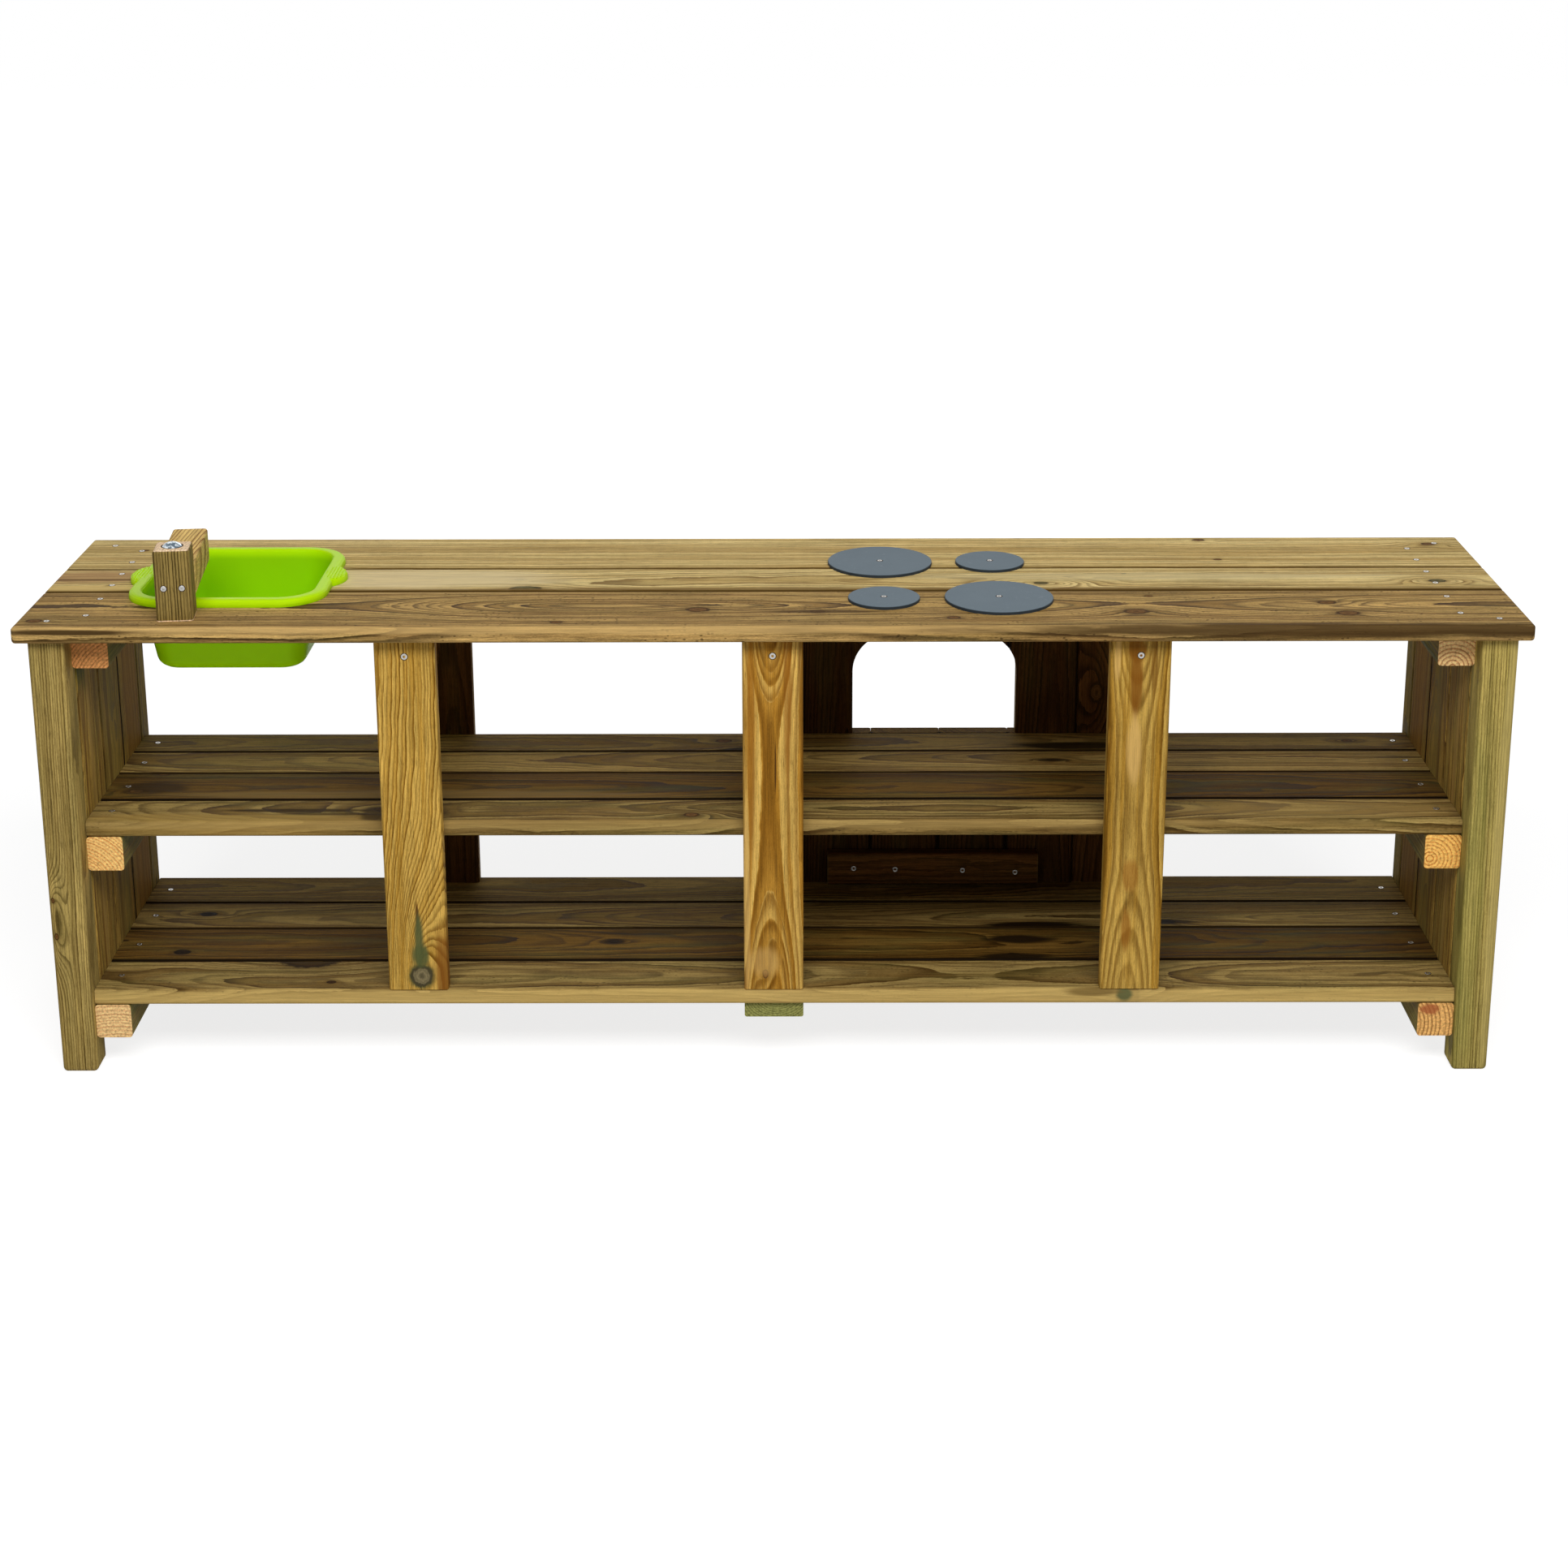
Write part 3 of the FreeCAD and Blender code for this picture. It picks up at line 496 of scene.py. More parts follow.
# Shelves, their boards counted from the near edge
def dress_shelves():
    arched = {"wave": 9.0, "contrast": 0.95, "band": 0.75, "green": 0.16, "fibre": 1.8}
    front = {"edges": (0.0, 1.0), "speckle": 0.5, **arched}
    dark, black, pale = srgb(52, 36, 14), srgb(34, 22, 8), srgb(222, 188, 112)
    make_pine("middle_shelf_board_1", pith=(0.1, 80), spacing=4.4, seed=5.0,
              steps=[(-1.0, -0.62, -30), (-0.3, 0.1, -24), (0.4, 0.9, 30)],
              knots=[(-0.12, -0.46, 5.5, 4, 14), (-0.575, 0.1, 6, 5, 22)],
              blotches=[(-0.79, -0.72, 190, 15, srgb(178, 144, 76), 0.6), (-0.7, 0.0, 84, 6, dark, 0.9),
                        (-0.66, -0.35, 60, 4, dark, 0.7), (-0.585, -0.3, 16, 26, dark, 0.8),
                        (-0.2, -1.0, 900, 5, srgb(176, 146, 86), 0.6, -4.0, 8.0),
                        (0.8, -0.1, 170, 30, srgb(190, 158, 92), 0.3)], **front)
    make_pine("middle_shelf_board_2", palette="brown", pith=(-0.2, 52), tilt=(0.0, 0.03), spacing=4.6,
              seed=15.0, knots=[(-0.955, -0.38, 6, 3), (-0.93, 1.0, 6, 2)], shade=0.93, edges=SHADE_AND_GRIME_EDGES,
              blotches=[(-0.93, -0.1, 40, 22, dark, 0.85), (-0.55, -0.7, 300, 16, srgb(140, 112, 62), 0.6)],
              **arched)
    make_pine("middle_shelf_board_3", pith=(0.3, 40), tilt=(0.0, -0.05), spacing=4.4, seed=25.0,
              shade=1.5, knots=[(-0.02, 0.6, 6, 3), (0.43, 0.1, 4, 2)], edges=SHADE_AND_GRIME_EDGES,
              blotches=[(0.43, 0.1, 26, 5, black, 0.9)], **arched)
    make_pine("middle_shelf_board_4", pith=(-0.1, 64), tilt=(0.0, 0.02), spacing=4.2, seed=35.0,
              shade=1.3, knots=[(-0.08, 0.1, 6, 2), (0.9, 0.0, 4, 2), (-0.03, -0.9, 6, 2)], edges=(1.0, 0.0),
              blotches=[(0.47, -0.5, 96, 13, black, 0.95), (-0.03, -0.85, 50, 10, black, 0.95)], **arched)
    make_pine("bottom_shelf_board_1", pith=(-0.05, 70), spacing=4.6, seed=50.0, shade=1.1,
              steps=[(-1.0, -0.7, -26), (-0.4, 0.3, 30), (0.3, 0.9, -30)], core=srgb(60, 38, 16),
              knots=[(-0.70, 1.0, 19, 10, 44), (-0.655, -0.48, 3.5, 1), (0.52, -1.0, 8, 3)],
              blotches=[(0.0, -1.0, 1400, 10, pale, 0.66, -12.0, 12.0),
                        (-0.70, 1.0, 34, 15, srgb(66, 50, 22), 0.9),
                        (0.515, -1.0, 10, 10, srgb(92, 98, 62), 0.9, -8.0, 10.0),
                        (0.47, -1.0, 34, 6, srgb(120, 96, 50), 0.8, -4.0, 6.0)], **front)
    make_pine("bottom_shelf_board_2", palette="brown", pith=(0.2, 60), tilt=(0.0, 0.03), spacing=4.4,
              seed=55.0, shade=1.15, edges=SHADE_AND_GRIME_EDGES, core=black,
              knots=[(-0.246, 0.12, 4, 2), (0.375, 0.25, 8, 2), (0.36, -0.8, 7, 2), (-0.9, -0.5, 6, 1)],
              blotches=[(0.375, 0.25, 44, 11, black, 1.0), (0.365, -0.85, 46, 9, black, 1.0),
                        (-0.246, 0.12, 16, 8, black, 0.9), (-0.2, 0.7, 70, 7, black, 0.6)], **arched)
    make_pine("bottom_shelf_board_3", pith=(-0.2, 42), tilt=(0.0, -0.04), spacing=4.4, seed=65.0,
              shade=1.4, knots=[(-0.89, 0.1, 6, 4), (0.4, -0.85, 8, 3), (0.61, -0.6, 6, 2)], edges=SHADE_AND_GRIME_EDGES,
              blotches=[(0.4, -0.85, 64, 11, black, 1.0), (0.61, -0.6, 40, 8, black, 0.8)], core=black,
              **arched)
    make_pine("bottom_shelf_board_4", pith=(0.4, 70), tilt=(0.0, 0.02), spacing=4.2, seed=75.0,
              shade=1.5, edges=(1.0, 0.0), **arched)
    make_pine("bottom_bearer", "Y", "X", "-Z", "post", pith=(0.1, 40), spacing=3.0, green=0.5, seed=80.0,
              end=(srgb(150, 150, 86), srgb(96, 98, 48)))


# Uprights and battens. A knot too small to see still bends the rings round it, and one with negative rings
# at an end draws them into a V
UNSEEN = 0.01


def dress_dividers():
    plain = {"green": 0.0, "fibre": 1.3}
    brown, tan, deep, flame = srgb(150, 94, 28), srgb(222, 180, 106), srgb(112, 72, 22), srgb(132, 82, 22)
    make_pine("upright_front_left", "Z", "X", "-Y", "golden", pith=(-1.6, 26), tilt=(0.05, 0.0), spacing=4.2,
              wave=11.0, contrast=1.0, band=0.5, seed=4.0, shade=0.93, core=srgb(124, 112, 80), stretch=1.05,
              knots=[(-0.92, 0.12, 12, 13, 38), (-0.9, 0.1, UNSEEN, 3, 14)],
              halo=(srgb(82, 88, 50), 0.95, 1.7),
              blotches=[(-0.58, 0.05, 20, 1.8, srgb(96, 58, 22), 0.95),
                        (-0.71, 0.08, 34, 5, srgb(92, 96, 56), 0.95),
                        (-0.80, 0.1, 16, 10, srgb(88, 94, 54), 0.95),
                        (-0.9, 0.95, 60, 13, srgb(136, 84, 28), 0.8)], **plain)
    make_pine("upright_front_centre", "Z", "X", "-Y", "amber", pith=(-0.1, 30), tilt=(0.01, 0.0), spacing=6.5,
              wave=4.0, softness=0.7, contrast=1.0, band=0.9, seed=6.0, shade=0.94, core=srgb(120, 70, 24),
              knots=[(-0.91, -0.28, 3.2, 2, 11), (-1.1, -0.12, UNSEEN, -5.5, 34),
                     (1.1, -0.06, UNSEEN, -5, 26)],
              blotches=[(0.3, 0.08, 34, 1.1, srgb(74, 46, 18), 0.95), (0.7, 0.5, 100, 5, brown, 0.6),
                        (0.8, 0.96, 110, 5, deep, 0.6), (0.4, -0.72, 150, 5, brown, 0.5),
                        (-0.84, -0.3, 20, 18, tan, 0.45), (-0.5, -0.9, 120, 4, tan, 0.5)], **plain)
    make_pine("upright_front_right", "Z", "X", "-Y", "golden", pith=(-0.1, 34), spacing=6.0,
              wave=4.5, softness=0.6, contrast=1.0, band=0.8, seed=18.0, shade=0.8,
              knots=[(1.1, -0.1, UNSEEN, -4, 30), (-1.15, -0.05, UNSEEN, -3.5, 45)],
              blotches=[(0.74, -0.12, 48, 7, flame, 0.9), (0.93, -0.1, 14, 12, flame, 0.85),
                        (0.38, -0.1, 44, 9, tan, 0.7), (0.84, 0.45, 36, 4, deep, 0.6),
                        (0.9, -0.75, 30, 4, tan, 0.6), (-0.34, -0.1, 20, 9, brown, 0.6),
                        (-0.66, -0.2, 26, 6, brown, 0.7)], **plain)
    for number, name in enumerate(("left", "centre", "right")):
        # The rear uprights' near faces are painted dark as shade, and their outer faces show plain slat wood
        make_pine("upright_rear_" + name, "Z", "X", "-Y", "painted_shade_panel", pith=(0.2, 40), tilt=(0.01, 0.02),
                  spacing=4.2, shade=2.2 if name == "right" else 1.5, seed=90.0 + number,
                  contrast=1.0, outer="slat", knots=[(0.19, -0.3, 8, 7, 26)] if name == "right" else [])
        for place in ("top", "middle"):
            make_pine(f"{place}_batten_{name}", "Y", "X", "-Z", "cleat", pith=(0.5, 40), spacing=3.2,
                      green=0.4, seed=95.0 + number + len(place),
                      end=(srgb(190, 150, 96), srgb(150, 108, 60)))


def dress_oven():
    """The panel's near side is painted dark as shade, and its outer side shows the plain wood."""
    boards = ("left", "lower_left", "upper_left", "lower_right", "upper_right", "right")
    for number, name in enumerate(boards):
        make_pine("oven_board_" + name, "Z", "X", "-Y", "painted_shade_panel", pith=(0.3, 34), tilt=(0.01, 0.03),
                  spacing=3.8, wave=4.0, seed=110.0 + 3 * number, contrast=1.0, edges=(0.9, 0.9),
                  shade=1.5 if name == "right" else 1.1, outer="slat")
    # The oven battens are painted dark all over, as painted shade
    for number, name in enumerate(("lower", "upper")):
        make_pine(f"oven_{name}_batten", "X", "Z", "-Y", "painted_shade_panel", pith=(0.3, 34), spacing=3.4, shade=2.8,
                  contrast=1.0, seed=130.0 + number, end=(srgb(120, 96, 56), srgb(84, 62, 32)))


def dress_tap():
    make_pine("tap_upright", "Z", "X", "-Y", "tap", pith=(5.4, 10), spacing=3.7, wave=1.2, contrast=1.0,
              band=0.0, green=0.0, seed=140.0, fibre=1.0,
              end=(srgb(250, 222, 186), srgb(226, 176, 130)))
    make_pine("tap_spout", "Y", "X", "+Z", "spout", pith=(4.4, 12), spacing=5.0, wave=2.0, contrast=1.0,
              band=0.1, green=0.0, seed=150.0, fibre=1.2,
              end=(srgb(226, 184, 130), srgb(180, 128, 80)))


# Plastics and metal
def plain_material(name, colour, roughness, specular=0.5, metallic=0.0):
    material = bpy.data.materials.new(name)
    material.use_nodes = True
    shader = material.node_tree.nodes["Principled BSDF"]
    shader.inputs["Base Color"].default_value = colour
    shader.inputs["Roughness"].default_value = roughness
    shader.inputs["Specular IOR Level"].default_value = specular
    shader.inputs["Metallic"].default_value = metallic
    return material, Graph(material.node_tree), shader


def object_noise(graph, millimetres, detail=2.0, seed=0.0):
    """Noise in the node's own space, with grains of this size."""
    place = graph.out(graph.node("TexCoord"), "Object")
    return graph.noise(place, seed, detail, 1.0 / (millimetres * MM))


def dress_basin():
    """Lime green with a moulded satin skin. Its rolled rim is painted lighter, a painted highlight, and the
    outside of the thin wall painted lighter, painted light for the light that comes through it."""
    material, g, shader = plain_material("basin_plastic", srgb(150, 220, 0), 0.4, 0.08)
    low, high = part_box("basin")
    space = g.node("TexCoord")
    x, y, z = g.parts(g.out(space, "Object"))
    facing_x, facing_y, _ = g.parts(g.out(space, "Normal"))
    outward = (x - (low.x + high.x) / 2) * facing_x + (y - (low.y + high.y) / 2) * facing_y
    wall_starts, wall_full, rim_starts, rim_full = [high.z - below * MM for below in (16, 30, 14, 3)]
    # Painted light: the outside of the wall, below the rim, is painted lighter for light coming through it
    outside = g.smooth(outward, 0.0, 20 * MM) * g.smooth(z, wall_starts, wall_full)
    # Painted highlight: the top of the rim, from 14 mm down, is painted lighter
    rim = g.smooth(z, rim_starts, rim_full)
    body = g.mix(object_noise(g, 60.0) * 0.5, srgb(156, 220, 0), srgb(150, 214, 0))
    walls_with_painted_light = g.mix(outside, body, srgb(182, 252, 0))
    g.put(shader.inputs["Base Color"], g.mix(rim, walls_with_painted_light, srgb(194, 250, 0)))
    grain = object_noise(g, 0.9, 1.0)
    g.put(shader.inputs["Roughness"], 0.34 + grain * 0.12)
    g.put(shader.inputs["Normal"], g.bump(grain, 0.25, 0.2 * MM))
    shader.inputs["Subsurface Weight"].default_value = 0.35
    shader.inputs["Subsurface Radius"].default_value = (0.9, 1.0, 0.1)
    shader.inputs["Subsurface Scale"].default_value = 8 * MM
    dress("basin", material)
    return material


def dress_hob():
    """Slate grey sheet with a fine pressed texture and a few scuffs. Its sides are painted dark as shade."""
    material, g, shader = plain_material("hob_slate", srgb(98, 112, 121), 0.6, 0.2)
    cloud = object_noise(g, 45.0, 3.0)
    grain = object_noise(g, 1.1, 2.0)
    scuff = g.smooth(object_noise(g, 9.0, 4.0, 3.0), 0.62, 0.75)
    upward = g.parts(g.out(g.node("TexCoord"), "Normal"))[2]
    tone = g.mix(cloud, srgb(92, 107, 117), srgb(104, 119, 128))
    worn = g.mix(scuff * 0.25, g.shade(tone, grain * 0.5 + 0.75), srgb(140, 150, 156))
    # Painted shade: faces that turn away from up are painted dark
    painted_shade_sides = g.smooth(upward, 0.9, 0.5)
    g.put(shader.inputs["Base Color"], g.mix(painted_shade_sides, worn, srgb(40, 48, 54)))
    g.put(shader.inputs["Roughness"], 0.5 + grain * 0.22)
    g.put(shader.inputs["Normal"], g.bump(grain, 0.5, 0.25 * MM))
    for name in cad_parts:
        if name.startswith("hob_plate"):
            dress(name, material)


def zinc_material():
    """Bright zinc plate, for the screws, washer and nut."""
    material, g, shader = plain_material("zinc", srgb(150, 150, 150), 0.3, 0.5, 1.0)
    spangle = object_noise(g, 3.0, 3.0)
    brushed = object_noise(g, 0.5, 1.0, 5.0)
    g.put(shader.inputs["Base Color"], g.mix(spangle, srgb(146, 145, 142), srgb(204, 202, 197)))
    g.put(shader.inputs["Roughness"], 0.22 + spangle * 0.16 + brushed * 0.08)
    g.put(shader.inputs["Normal"], g.bump(brushed, 0.2, 0.1 * MM))
    for name in ("tap_washer", "tap_nut"):
        dress(name, material)
    return material


def dress_bolt():
    """Bright blue-white zinc on the coach bolt, which has been turned more than the screws."""
    material, g, shader = plain_material("bolt_zinc", srgb(190, 204, 214), 0.2, 0.5, 1.0)
    swirl = object_noise(g, 4.0, 4.0, 2.0)
    bright = g.smooth(swirl, 0.4, 0.62)
    g.put(shader.inputs["Base Color"], g.mix(bright, srgb(96, 112, 124), srgb(222, 232, 238)))
    g.put(shader.inputs["Roughness"], 0.16 + swirl * 0.2)
    g.put(shader.inputs["Normal"], g.bump(swirl, 0.35, 0.6 * MM))
    dress("tap_bolt", material)


def dress_all():
    dress_worktop()
    dress_ends()
    dress_shelves()
    dress_dividers()
    dress_oven()
    dress_tap()
    dress_hob()
    dress_bolt()
    return dress_basin(), zinc_material()


green, zinc = dress_all()


# Screws: a countersunk head with a six-point star recess, in a dark ring on the wood round it
HEAD_RADIUS, UPRIGHT_HEAD_RADIUS, HOB_HEAD_RADIUS = 3.6 * MM, 4.0 * MM, 3.2 * MM
POINTS = 6
TURN = 2 * math.pi
# Rings from the outside in: radii as shares of the head's radius, and heights in millimetres
STAR = (0.5, 0.41, 0.33, 0.41)
SCREW_RING_PROFILE = [((1.26,), -0.1), ((1.2,), 0.08), ((1.0,), 0.04)]
HEAD_PROFILE = [((0.62,), -1.6), ((1.0,), -0.2), ((0.96,), 0.2), ((0.86,), 0.35), ((0.62,), 0.22),
                (STAR, 0.2), (tuple(0.9 * share for share in STAR), -1.5)]


def ring(mesh, radii, height, count):
    """Points round the Z axis, whose distances from it take turns through radii."""
    points = []
    for k in range(count):
        radius, angle = radii[k % len(radii)], TURN * k / count
        points.append(mesh.verts.new((radius * math.cos(angle), radius * math.sin(angle), height)))
    return points


def bridge(mesh, lower, upper, material=0):
    """Faces between two rings."""
    count = len(lower)
    for k in range(count):
        face = mesh.faces.new((lower[k], lower[(k + 1) % count], upper[(k + 1) % count], upper[k]))
        face.material_index = material


def screw_mesh(radius):
    """One head, standing 0.35 mm proud, with its axis along +Z and the wood's face at z = 0. Round it is a
    dark ring on the wood."""
    mesh = bmesh.new()
    count = POINTS * len(STAR)
    dark_ring, rings = [[ring(mesh, tuple(share * radius for share in shares), height * MM, count)
                      for shares, height in profile] for profile in (SCREW_RING_PROFILE, HEAD_PROFILE)]
    for lower, upper in zip(dark_ring, dark_ring[1:]):
        bridge(mesh, lower, upper, 1)
    for lower, upper in zip(rings, rings[1:]):
        bridge(mesh, lower, upper)
    mesh.faces.new(rings[-1])
    mesh.faces.new(rings[0][::-1])
    return mesh


def join_copies(name, makers, materials, body):
    """One piece out of many small meshes. Each maker gives a mesh and the matrix that puts it in place."""
    whole = bmesh.new()
    for mesh, matrix in makers:
        bmesh.ops.transform(mesh, matrix=matrix, verts=mesh.verts)
        data = bpy.data.meshes.new("part")
        mesh.to_mesh(data)
        whole.from_mesh(data)
        bpy.data.meshes.remove(data)
        mesh.free()
    data = bpy.data.meshes.new(name)
    whole.to_mesh(data)
    whole.free()
    for material in materials:
        data.materials.append(material)
    piece = bpy.data.objects.new(name, data)
    bpy.context.scene.collection.objects.link(piece)
    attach(piece, body)
    return piece


def facing(place, direction, angle):
    """The matrix that stands a mesh at a place, with its Z axis along direction."""
    turn = Vector(direction).to_track_quat("Z", "Y").to_matrix().to_4x4()
    return Matrix.Translation(place) @ turn @ Matrix.Rotation(angle, 4, "Z")


def add_screws(name, places, materials, body="frame", radius=HEAD_RADIUS):
    """Heads at places and facing directions, as one piece. Each is turned by its own angle."""
    spin = random.Random(name)
    makers = [(screw_mesh(radius), facing(place, direction, spin.uniform(0, TURN)))
              for place, direction in places]
    return join_copies(name, makers, materials, body)


def islands(node):
    """The separate solids of a node, each as a list of its points, in the same order on every run."""
    mesh = bmesh.new()
    mesh.from_mesh(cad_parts[node].data)
    bmesh.ops.remove_doubles(mesh, verts=mesh.verts, dist=0.01 * MM)
    left, found = set(mesh.verts), []
    for start in mesh.verts:
        if start not in left:
            continue
        left.remove(start)
        open_ones, points = [start], []
        while open_ones:
            vertex = open_ones.pop()
            points.append(vertex.co.copy())
            for edge in vertex.link_edges:
                other = edge.other_vert(vertex)
                if other in left:
                    left.remove(other)
                    open_ones.append(other)
        found.append(points)
    mesh.free()
    return found


def head_places(node, direction):
    """Where each solid of a node ends in a direction: the middle of its outermost face."""
    direction = Vector(direction).normalized()
    places = []
    for points in islands(node):
        furthest = max(p.dot(direction) for p in points)
        face = [p for p in points if p.dot(direction) > furthest - 0.05 * MM]
        places.append((sum(face, Vector()) / len(face), direction))
    return places


def screw_ring_and_bolt_shadow_material():
    """A dark ring on the wood round each screw head, and painted shadow round the bolt's head."""
    material, g, shader = plain_material("screw_ring_and_bolt_shadow", srgb(60, 42, 22), 0.85, 0.1)
    g.put(shader.inputs["Base Color"], g.mix(object_noise(g, 0.8), srgb(44, 30, 14), srgb(96, 72, 40)))
    return material


# Where the screws stand, in millimetres: along Y in the worktop, and in X and up from the batten's foot
CLEAT_ROWS, POST_ROWS = (-149, -79, -19, 32, 87, 141), (-172, 167)
BATTEN_SCREWS = ((108.7, 24), (166, 22.5), (259.4, 21), (332.4, 18))
WORKTOP_SIDESTEP, SHELF_SIDESTEP = 3 * MM, -2 * MM  # from the middle of the cleat
UPRIGHT_SCREW_DROP = 24 * MM
SPOUT_TURN = math.radians(6)


def add_all_screws(zinc):
    material = (zinc, screw_ring_and_bolt_shadow_material())
    up, near, far = (0, 0, 1), (0, -1, 0), (0, 1, 0)
    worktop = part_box("worktop_front_plank")[1].z
    cleat_x = (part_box("cleat_top_right")[0].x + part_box("cleat_top_right")[1].x) / 2
    post_x = (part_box("post_front_right")[0].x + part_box("post_front_right")[1].x) / 2
    places = []
    for side in (-1, 1):
        for x, rows in ((cleat_x + WORKTOP_SIDESTEP, CLEAT_ROWS), (post_x, POST_ROWS)):
            places += [(Vector((side * x, y * MM, worktop)), up) for y in rows]
    add_screws("worktop_screws", places, material)
    places = []
    for shelf in ("middle", "bottom"):
        for number in range(1, 5):
            low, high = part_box(f"{shelf}_shelf_board_{number}")
            for side in (-1, 1):
                places.append((Vector((side * (cleat_x + SHELF_SIDESTEP), (low.y + high.y) / 2, high.z)), up))
    add_screws("shelf_screws", places, material)
    places = []
    for name in ("left", "centre", "right"):
        low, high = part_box("upright_front_" + name)
        places.append((Vector(((low.x + high.x) / 2, low.y, high.z - UPRIGHT_SCREW_DROP)), near))
        low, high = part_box("upright_rear_" + name)
        places.append((Vector(((low.x + high.x) / 2, high.y, high.z - UPRIGHT_SCREW_DROP)), far))
    add_screws("upright_screws", places, material, radius=UPRIGHT_HEAD_RADIUS)
    low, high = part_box("oven_lower_batten")
    places = [(Vector((x * MM, low.y, low.z + z * MM)), near) for x, z in BATTEN_SCREWS]
    add_screws("batten_screws", places, material)
    spout_side = (math.sin(SPOUT_TURN), -math.cos(SPOUT_TURN), 0)
    spout = add_screws("tap_spout_screws", head_places("tap_screws", spout_side), material, "tap")
    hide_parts("tap_screws")
    hob = add_screws("hob_plate_screws", head_places("hob_screws", up), material, radius=HOB_HEAD_RADIUS)
    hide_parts("hob_screws")
    add_bolt_painted_shadow(material[1:])


# How far the two rings of the painted shadow round the bolt lie past its head, and their heights, in
# millimetres
BOLT_SHADOW_PROFILE = ((1.6, 0.06), (-0.4, 0.1))
BOLT_SHADOW_SIDES = 48


def add_bolt_painted_shadow(materials):
    """A dark ring painted on the tap's end grain round the bolt's head: painted shadow."""
    low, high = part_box("tap_bolt")
    shadow_centre = Vector(((low.x + high.x) / 2, (low.y + high.y) / 2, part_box("tap_upright")[1].z))
    half = (high.x - low.x) / 2
    shadow_ring = bmesh.new()
    rings = [ring(shadow_ring, (half + past * MM,), height * MM, BOLT_SHADOW_SIDES) for past, height in BOLT_SHADOW_PROFILE]
    bridge(shadow_ring, *rings)
    join_copies("bolt_painted_shadow", [(shadow_ring, Matrix.Translation(shadow_centre))], materials, "tap")


add_all_screws(zinc)


# Basin grips: rows of small moulded dots over the swelling at each end of the rim
DOT_RADIUS = 1.2 * MM
DOME_SIDES = 10
DOME_ANGLES = (-0.6, 0.0, 0.5, 1.0)  # of its rings, in radians up from the widest one
DOME_HEIGHT = DOT_RADIUS * 0.7
DOT_SINK = 0.12 * MM
DOT_PITCH = 4.6 * MM
DOT_ROWS, DOT_COLUMNS, ROW_SHARE = 7, 10, 0.87  # rows inwards, columns each way, row pitch over dot pitch
GRIP_HALF, GRIP_DEPTH, GRIP_MARGIN, FIRST_ROW = 36 * MM, 24 * MM, 2 * MM, 1.6 * MM
RIM_DEPTH = 8 * MM  # dots lie no deeper than this under the rim's top
FLATTEST = 0.35  # nor where the skin's normal rises less than this


def dot_mesh():
    """A low dome, sunk a little so that it rises out of the skin."""
    mesh = bmesh.new()
    rings = [ring(mesh, (DOT_RADIUS * math.cos(t),), DOME_HEIGHT * math.sin(t), DOME_SIDES)
             for t in DOME_ANGLES]
    for lower, upper in zip(rings, rings[1:]):
        bridge(mesh, lower, upper)
    top = mesh.verts.new((0, 0, DOME_HEIGHT))
    for k in range(DOME_SIDES):
        mesh.faces.new((rings[-1][k], rings[-1][(k + 1) % DOME_SIDES], top))
    mesh.faces.new(rings[0][::-1])
    return mesh


def add_grip_dots(material):
    """Staggered rows of dots within a half ellipse at each end, dropped onto the rim from above."""
    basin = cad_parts["basin"]
    low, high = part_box("basin")
    middle_y = (low.y + high.y) / 2
    makers = []
    for side, end in ((-1, low.x), (1, high.x)):
        for row in range(DOT_ROWS):
            for column in range(-DOT_COLUMNS, DOT_COLUMNS + 1):
                x = end - side * (FIRST_ROW + row * DOT_PITCH * ROW_SHARE)
                y = middle_y + (column + 0.5 * (row % 2)) * DOT_PITCH
                reach = math.sqrt(max(0, 1 - ((y - middle_y) / GRIP_HALF) ** 2))
                if abs(x - end) > GRIP_DEPTH * reach + GRIP_MARGIN:
                    continue
                hit, place, normal, _ = basin.ray_cast(Vector((x, y, high.z + 0.1)), Vector((0, 0, -1)))
                if hit and place.z > high.z - RIM_DEPTH and normal.z > FLATTEST:
                    makers.append((dot_mesh(), facing(place - normal * DOT_SINK, normal, 0)))
    return join_copies("basin_grip_dots", makers, (material,), "basin")


add_grip_dots(green)


# Stage: a white floor that keeps a soft shadow, a large softbox above the near side and a smaller one behind,
# and a surround that looks white and lights the object a little
FLOOR_SIZE = 24.0
GLOW, GLOW_RISE, RISE_OVER = 0.8, 0.2, (1.2, 3.4)  # the rise runs between these distances from the middle
WHITE, FLOOR_GREY, SHADOW_GREY, SURROUND_GREY = [(level, level, level, 1) for level in (1.0, 0.8, 0.46, 0.14)]


def seen_rays(graph):
    """1 where a ray comes from the camera, a mirror or glass, and 0 where it only carries light."""
    rays = graph.node("LightPath")
    shown = graph.out(rays, "Is Camera Ray")
    for label in ("Is Glossy Ray", "Is Transmission Ray"):
        shown = graph.math("MAXIMUM", shown, graph.out(rays, label))
    return shown


def stage_material(name):
    """Where it is seen, grey paper under a glow that makes it white but keeps the shadow. To the light that
    it sends back it is plain pale grey."""
    material = bpy.data.materials.new(name)
    material.use_nodes = True
    g = Graph(material.node_tree)
    shown = seen_rays(g)
    place = g.out(g.node("TexCoord"), "Object")
    distance = g.out(g.node("VectorMath", {0: place}, operation="LENGTH"), "Value")
    shader = material.node_tree.nodes["Principled BSDF"]
    g.put(shader.inputs["Base Color"], g.mix(shown, FLOOR_GREY, SHADOW_GREY))
    shader.inputs["Emission Color"].default_value = WHITE
    g.put(shader.inputs["Emission Strength"], shown * (g.smooth(distance, *RISE_OVER) * GLOW_RISE + GLOW))
    shader.inputs["Roughness"].default_value = 0.9
    shader.inputs["Specular IOR Level"].default_value = 0.0
    return material


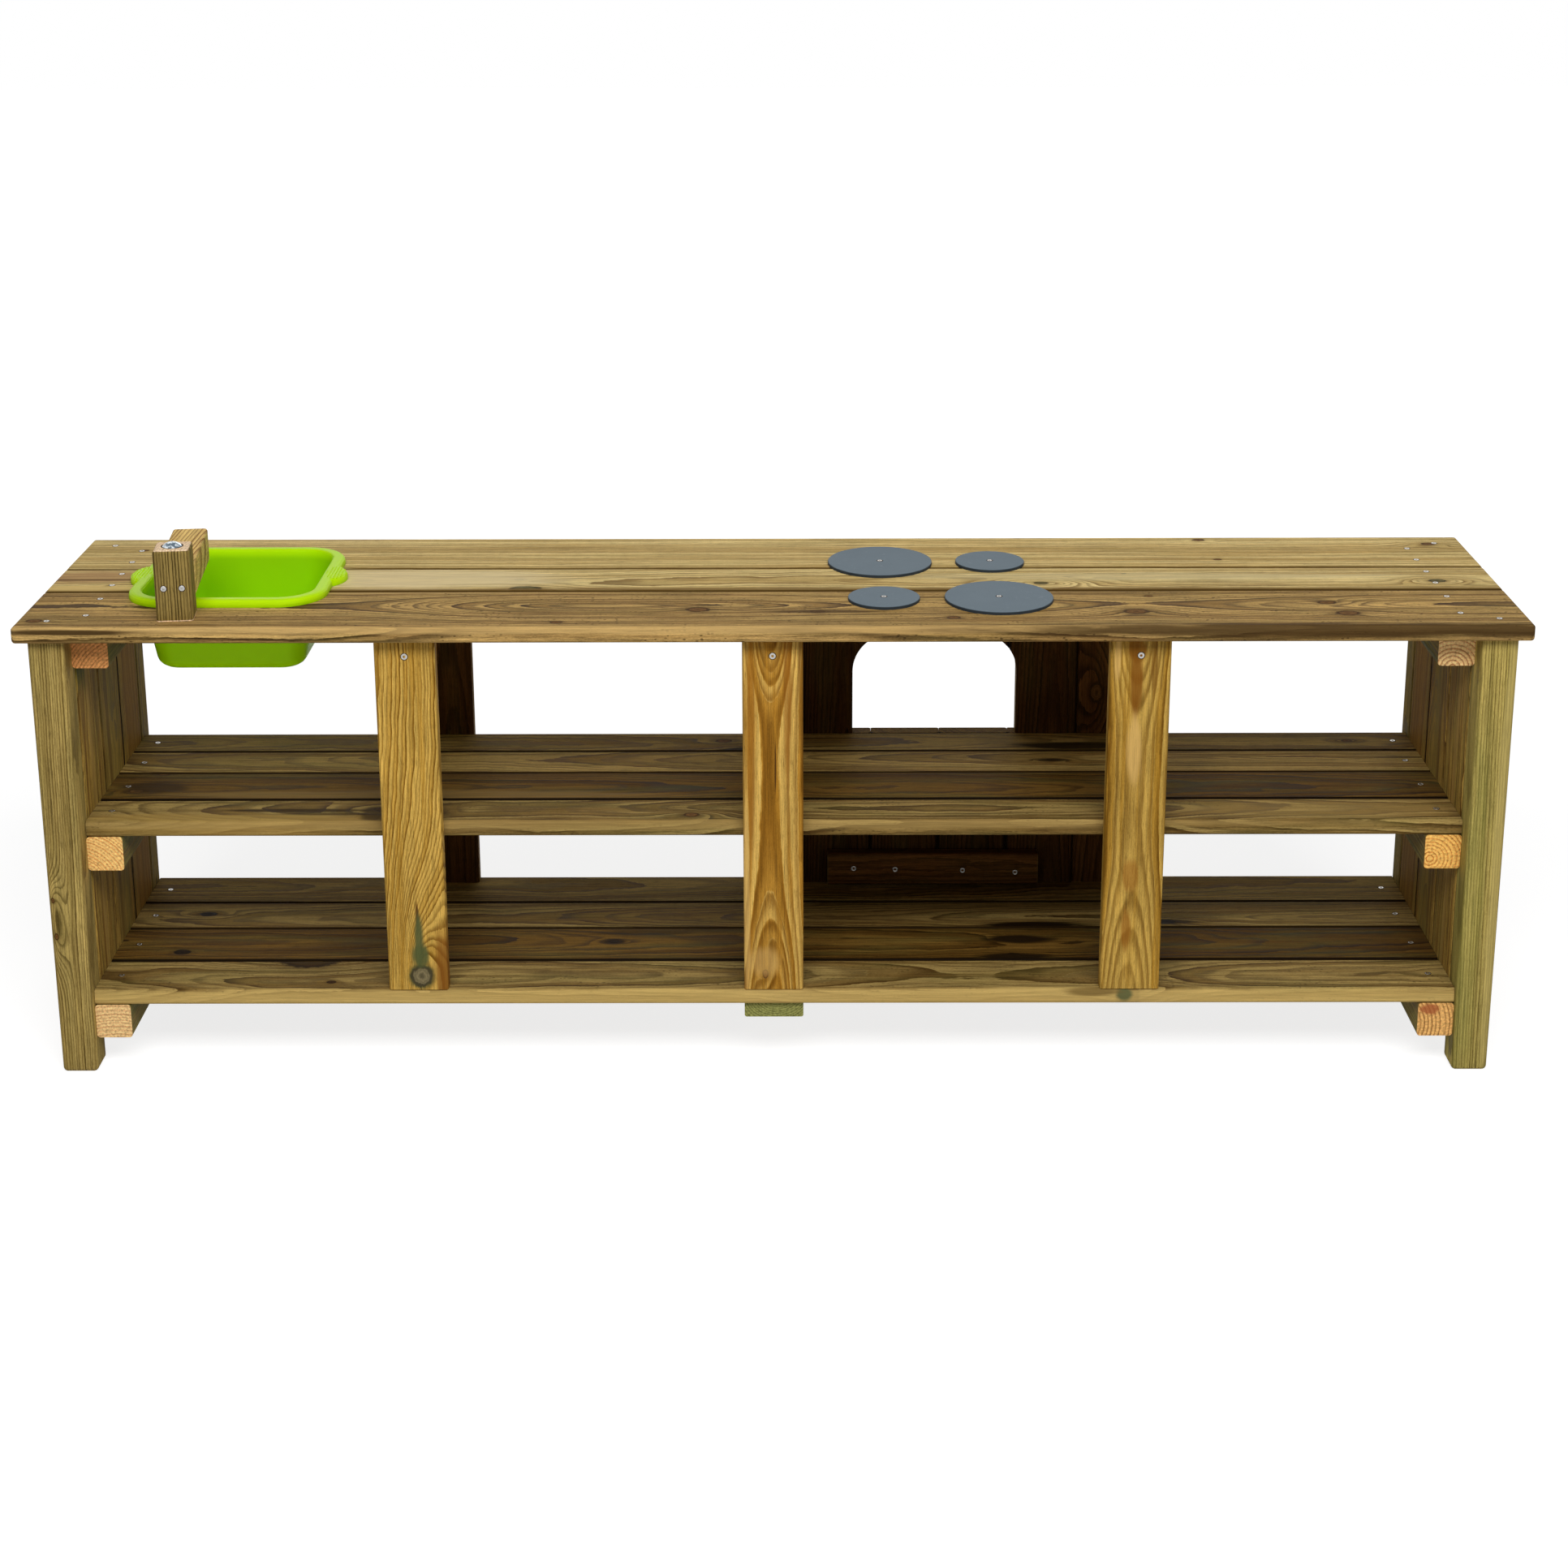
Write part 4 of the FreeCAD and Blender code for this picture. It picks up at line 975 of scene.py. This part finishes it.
def make_floor():
    half = FLOOR_SIZE / 2
    corners = [(-half, -half, 0), (half, -half, 0), (half, half, 0), (-half, half, 0)]
    data = bpy.data.meshes.new("floor")
    data.from_pydata(corners, [], [(0, 1, 2, 3)])
    floor = bpy.data.objects.new("floor", data)
    bpy.context.scene.collection.objects.link(floor)
    data.materials.append(stage_material("floor_white"))


def make_world():
    world = bpy.data.worlds.new("studio")
    bpy.context.scene.world = world
    world.use_nodes = True
    g = Graph(world.node_tree)
    background = world.node_tree.nodes["Background"]
    g.put(background.inputs["Color"], g.mix(seen_rays(g), SURROUND_GREY, WHITE))
    background.inputs["Strength"].default_value = 1.0


def add_softbox(name, place, target, size, power):
    """A rectangular lamp of this width and height in metres, and power in watts, turned to a target."""
    data = bpy.data.lights.new(name, "AREA")
    data.shape, data.size, data.size_y, data.energy = "RECTANGLE", size[0], size[1], power
    lamp = bpy.data.objects.new(name, data)
    lamp.location = place
    lamp.rotation_euler = (Vector(target) - Vector(place)).to_track_quat("-Z", "Y").to_euler()
    bpy.context.scene.collection.objects.link(lamp)


def make_lights():
    add_softbox("key", (0.2, -2.7, 3.1), (0, 0, 0.35), (3.6, 1.4), 118)
    add_softbox("rear", (0, 3.0, 1.8), (0, 0, 0.3), (4.0, 1.0), 11)


# Camera: fitted to the photograph's corners, joints and plates. The photograph's verticals are nearly
# parallel, so the lens is shifted a little
FRAME_PIXELS = 1932
FOCAL_PIXELS = 3219.9
SENSOR = 36.0
SHIFT = -0.15
CAMERA_PLACE = Vector((25.1, -3219.6, 1553.5)) * MM
PITCH, YAW, ROLL = math.radians(15.82), math.radians(-0.20), math.radians(-0.17)


def make_camera():
    data = bpy.data.cameras.new("camera")
    data.sensor_width = SENSOR
    data.lens = FOCAL_PIXELS / FRAME_PIXELS * SENSOR
    data.shift_y = SHIFT
    camera = bpy.data.objects.new("camera", data)
    camera.location = CAMERA_PLACE
    camera.rotation_euler = (Matrix.Rotation(-YAW, 3, "Z") @ Matrix.Rotation(math.pi / 2 - PITCH, 3, "X")
                             @ Matrix.Rotation(ROLL, 3, "Z")).to_euler()
    bpy.context.scene.collection.objects.link(camera)
    bpy.context.scene.camera = camera


make_floor()
make_world()
make_lights()
make_camera()
bpy.context.scene.view_settings.view_transform = "Standard"
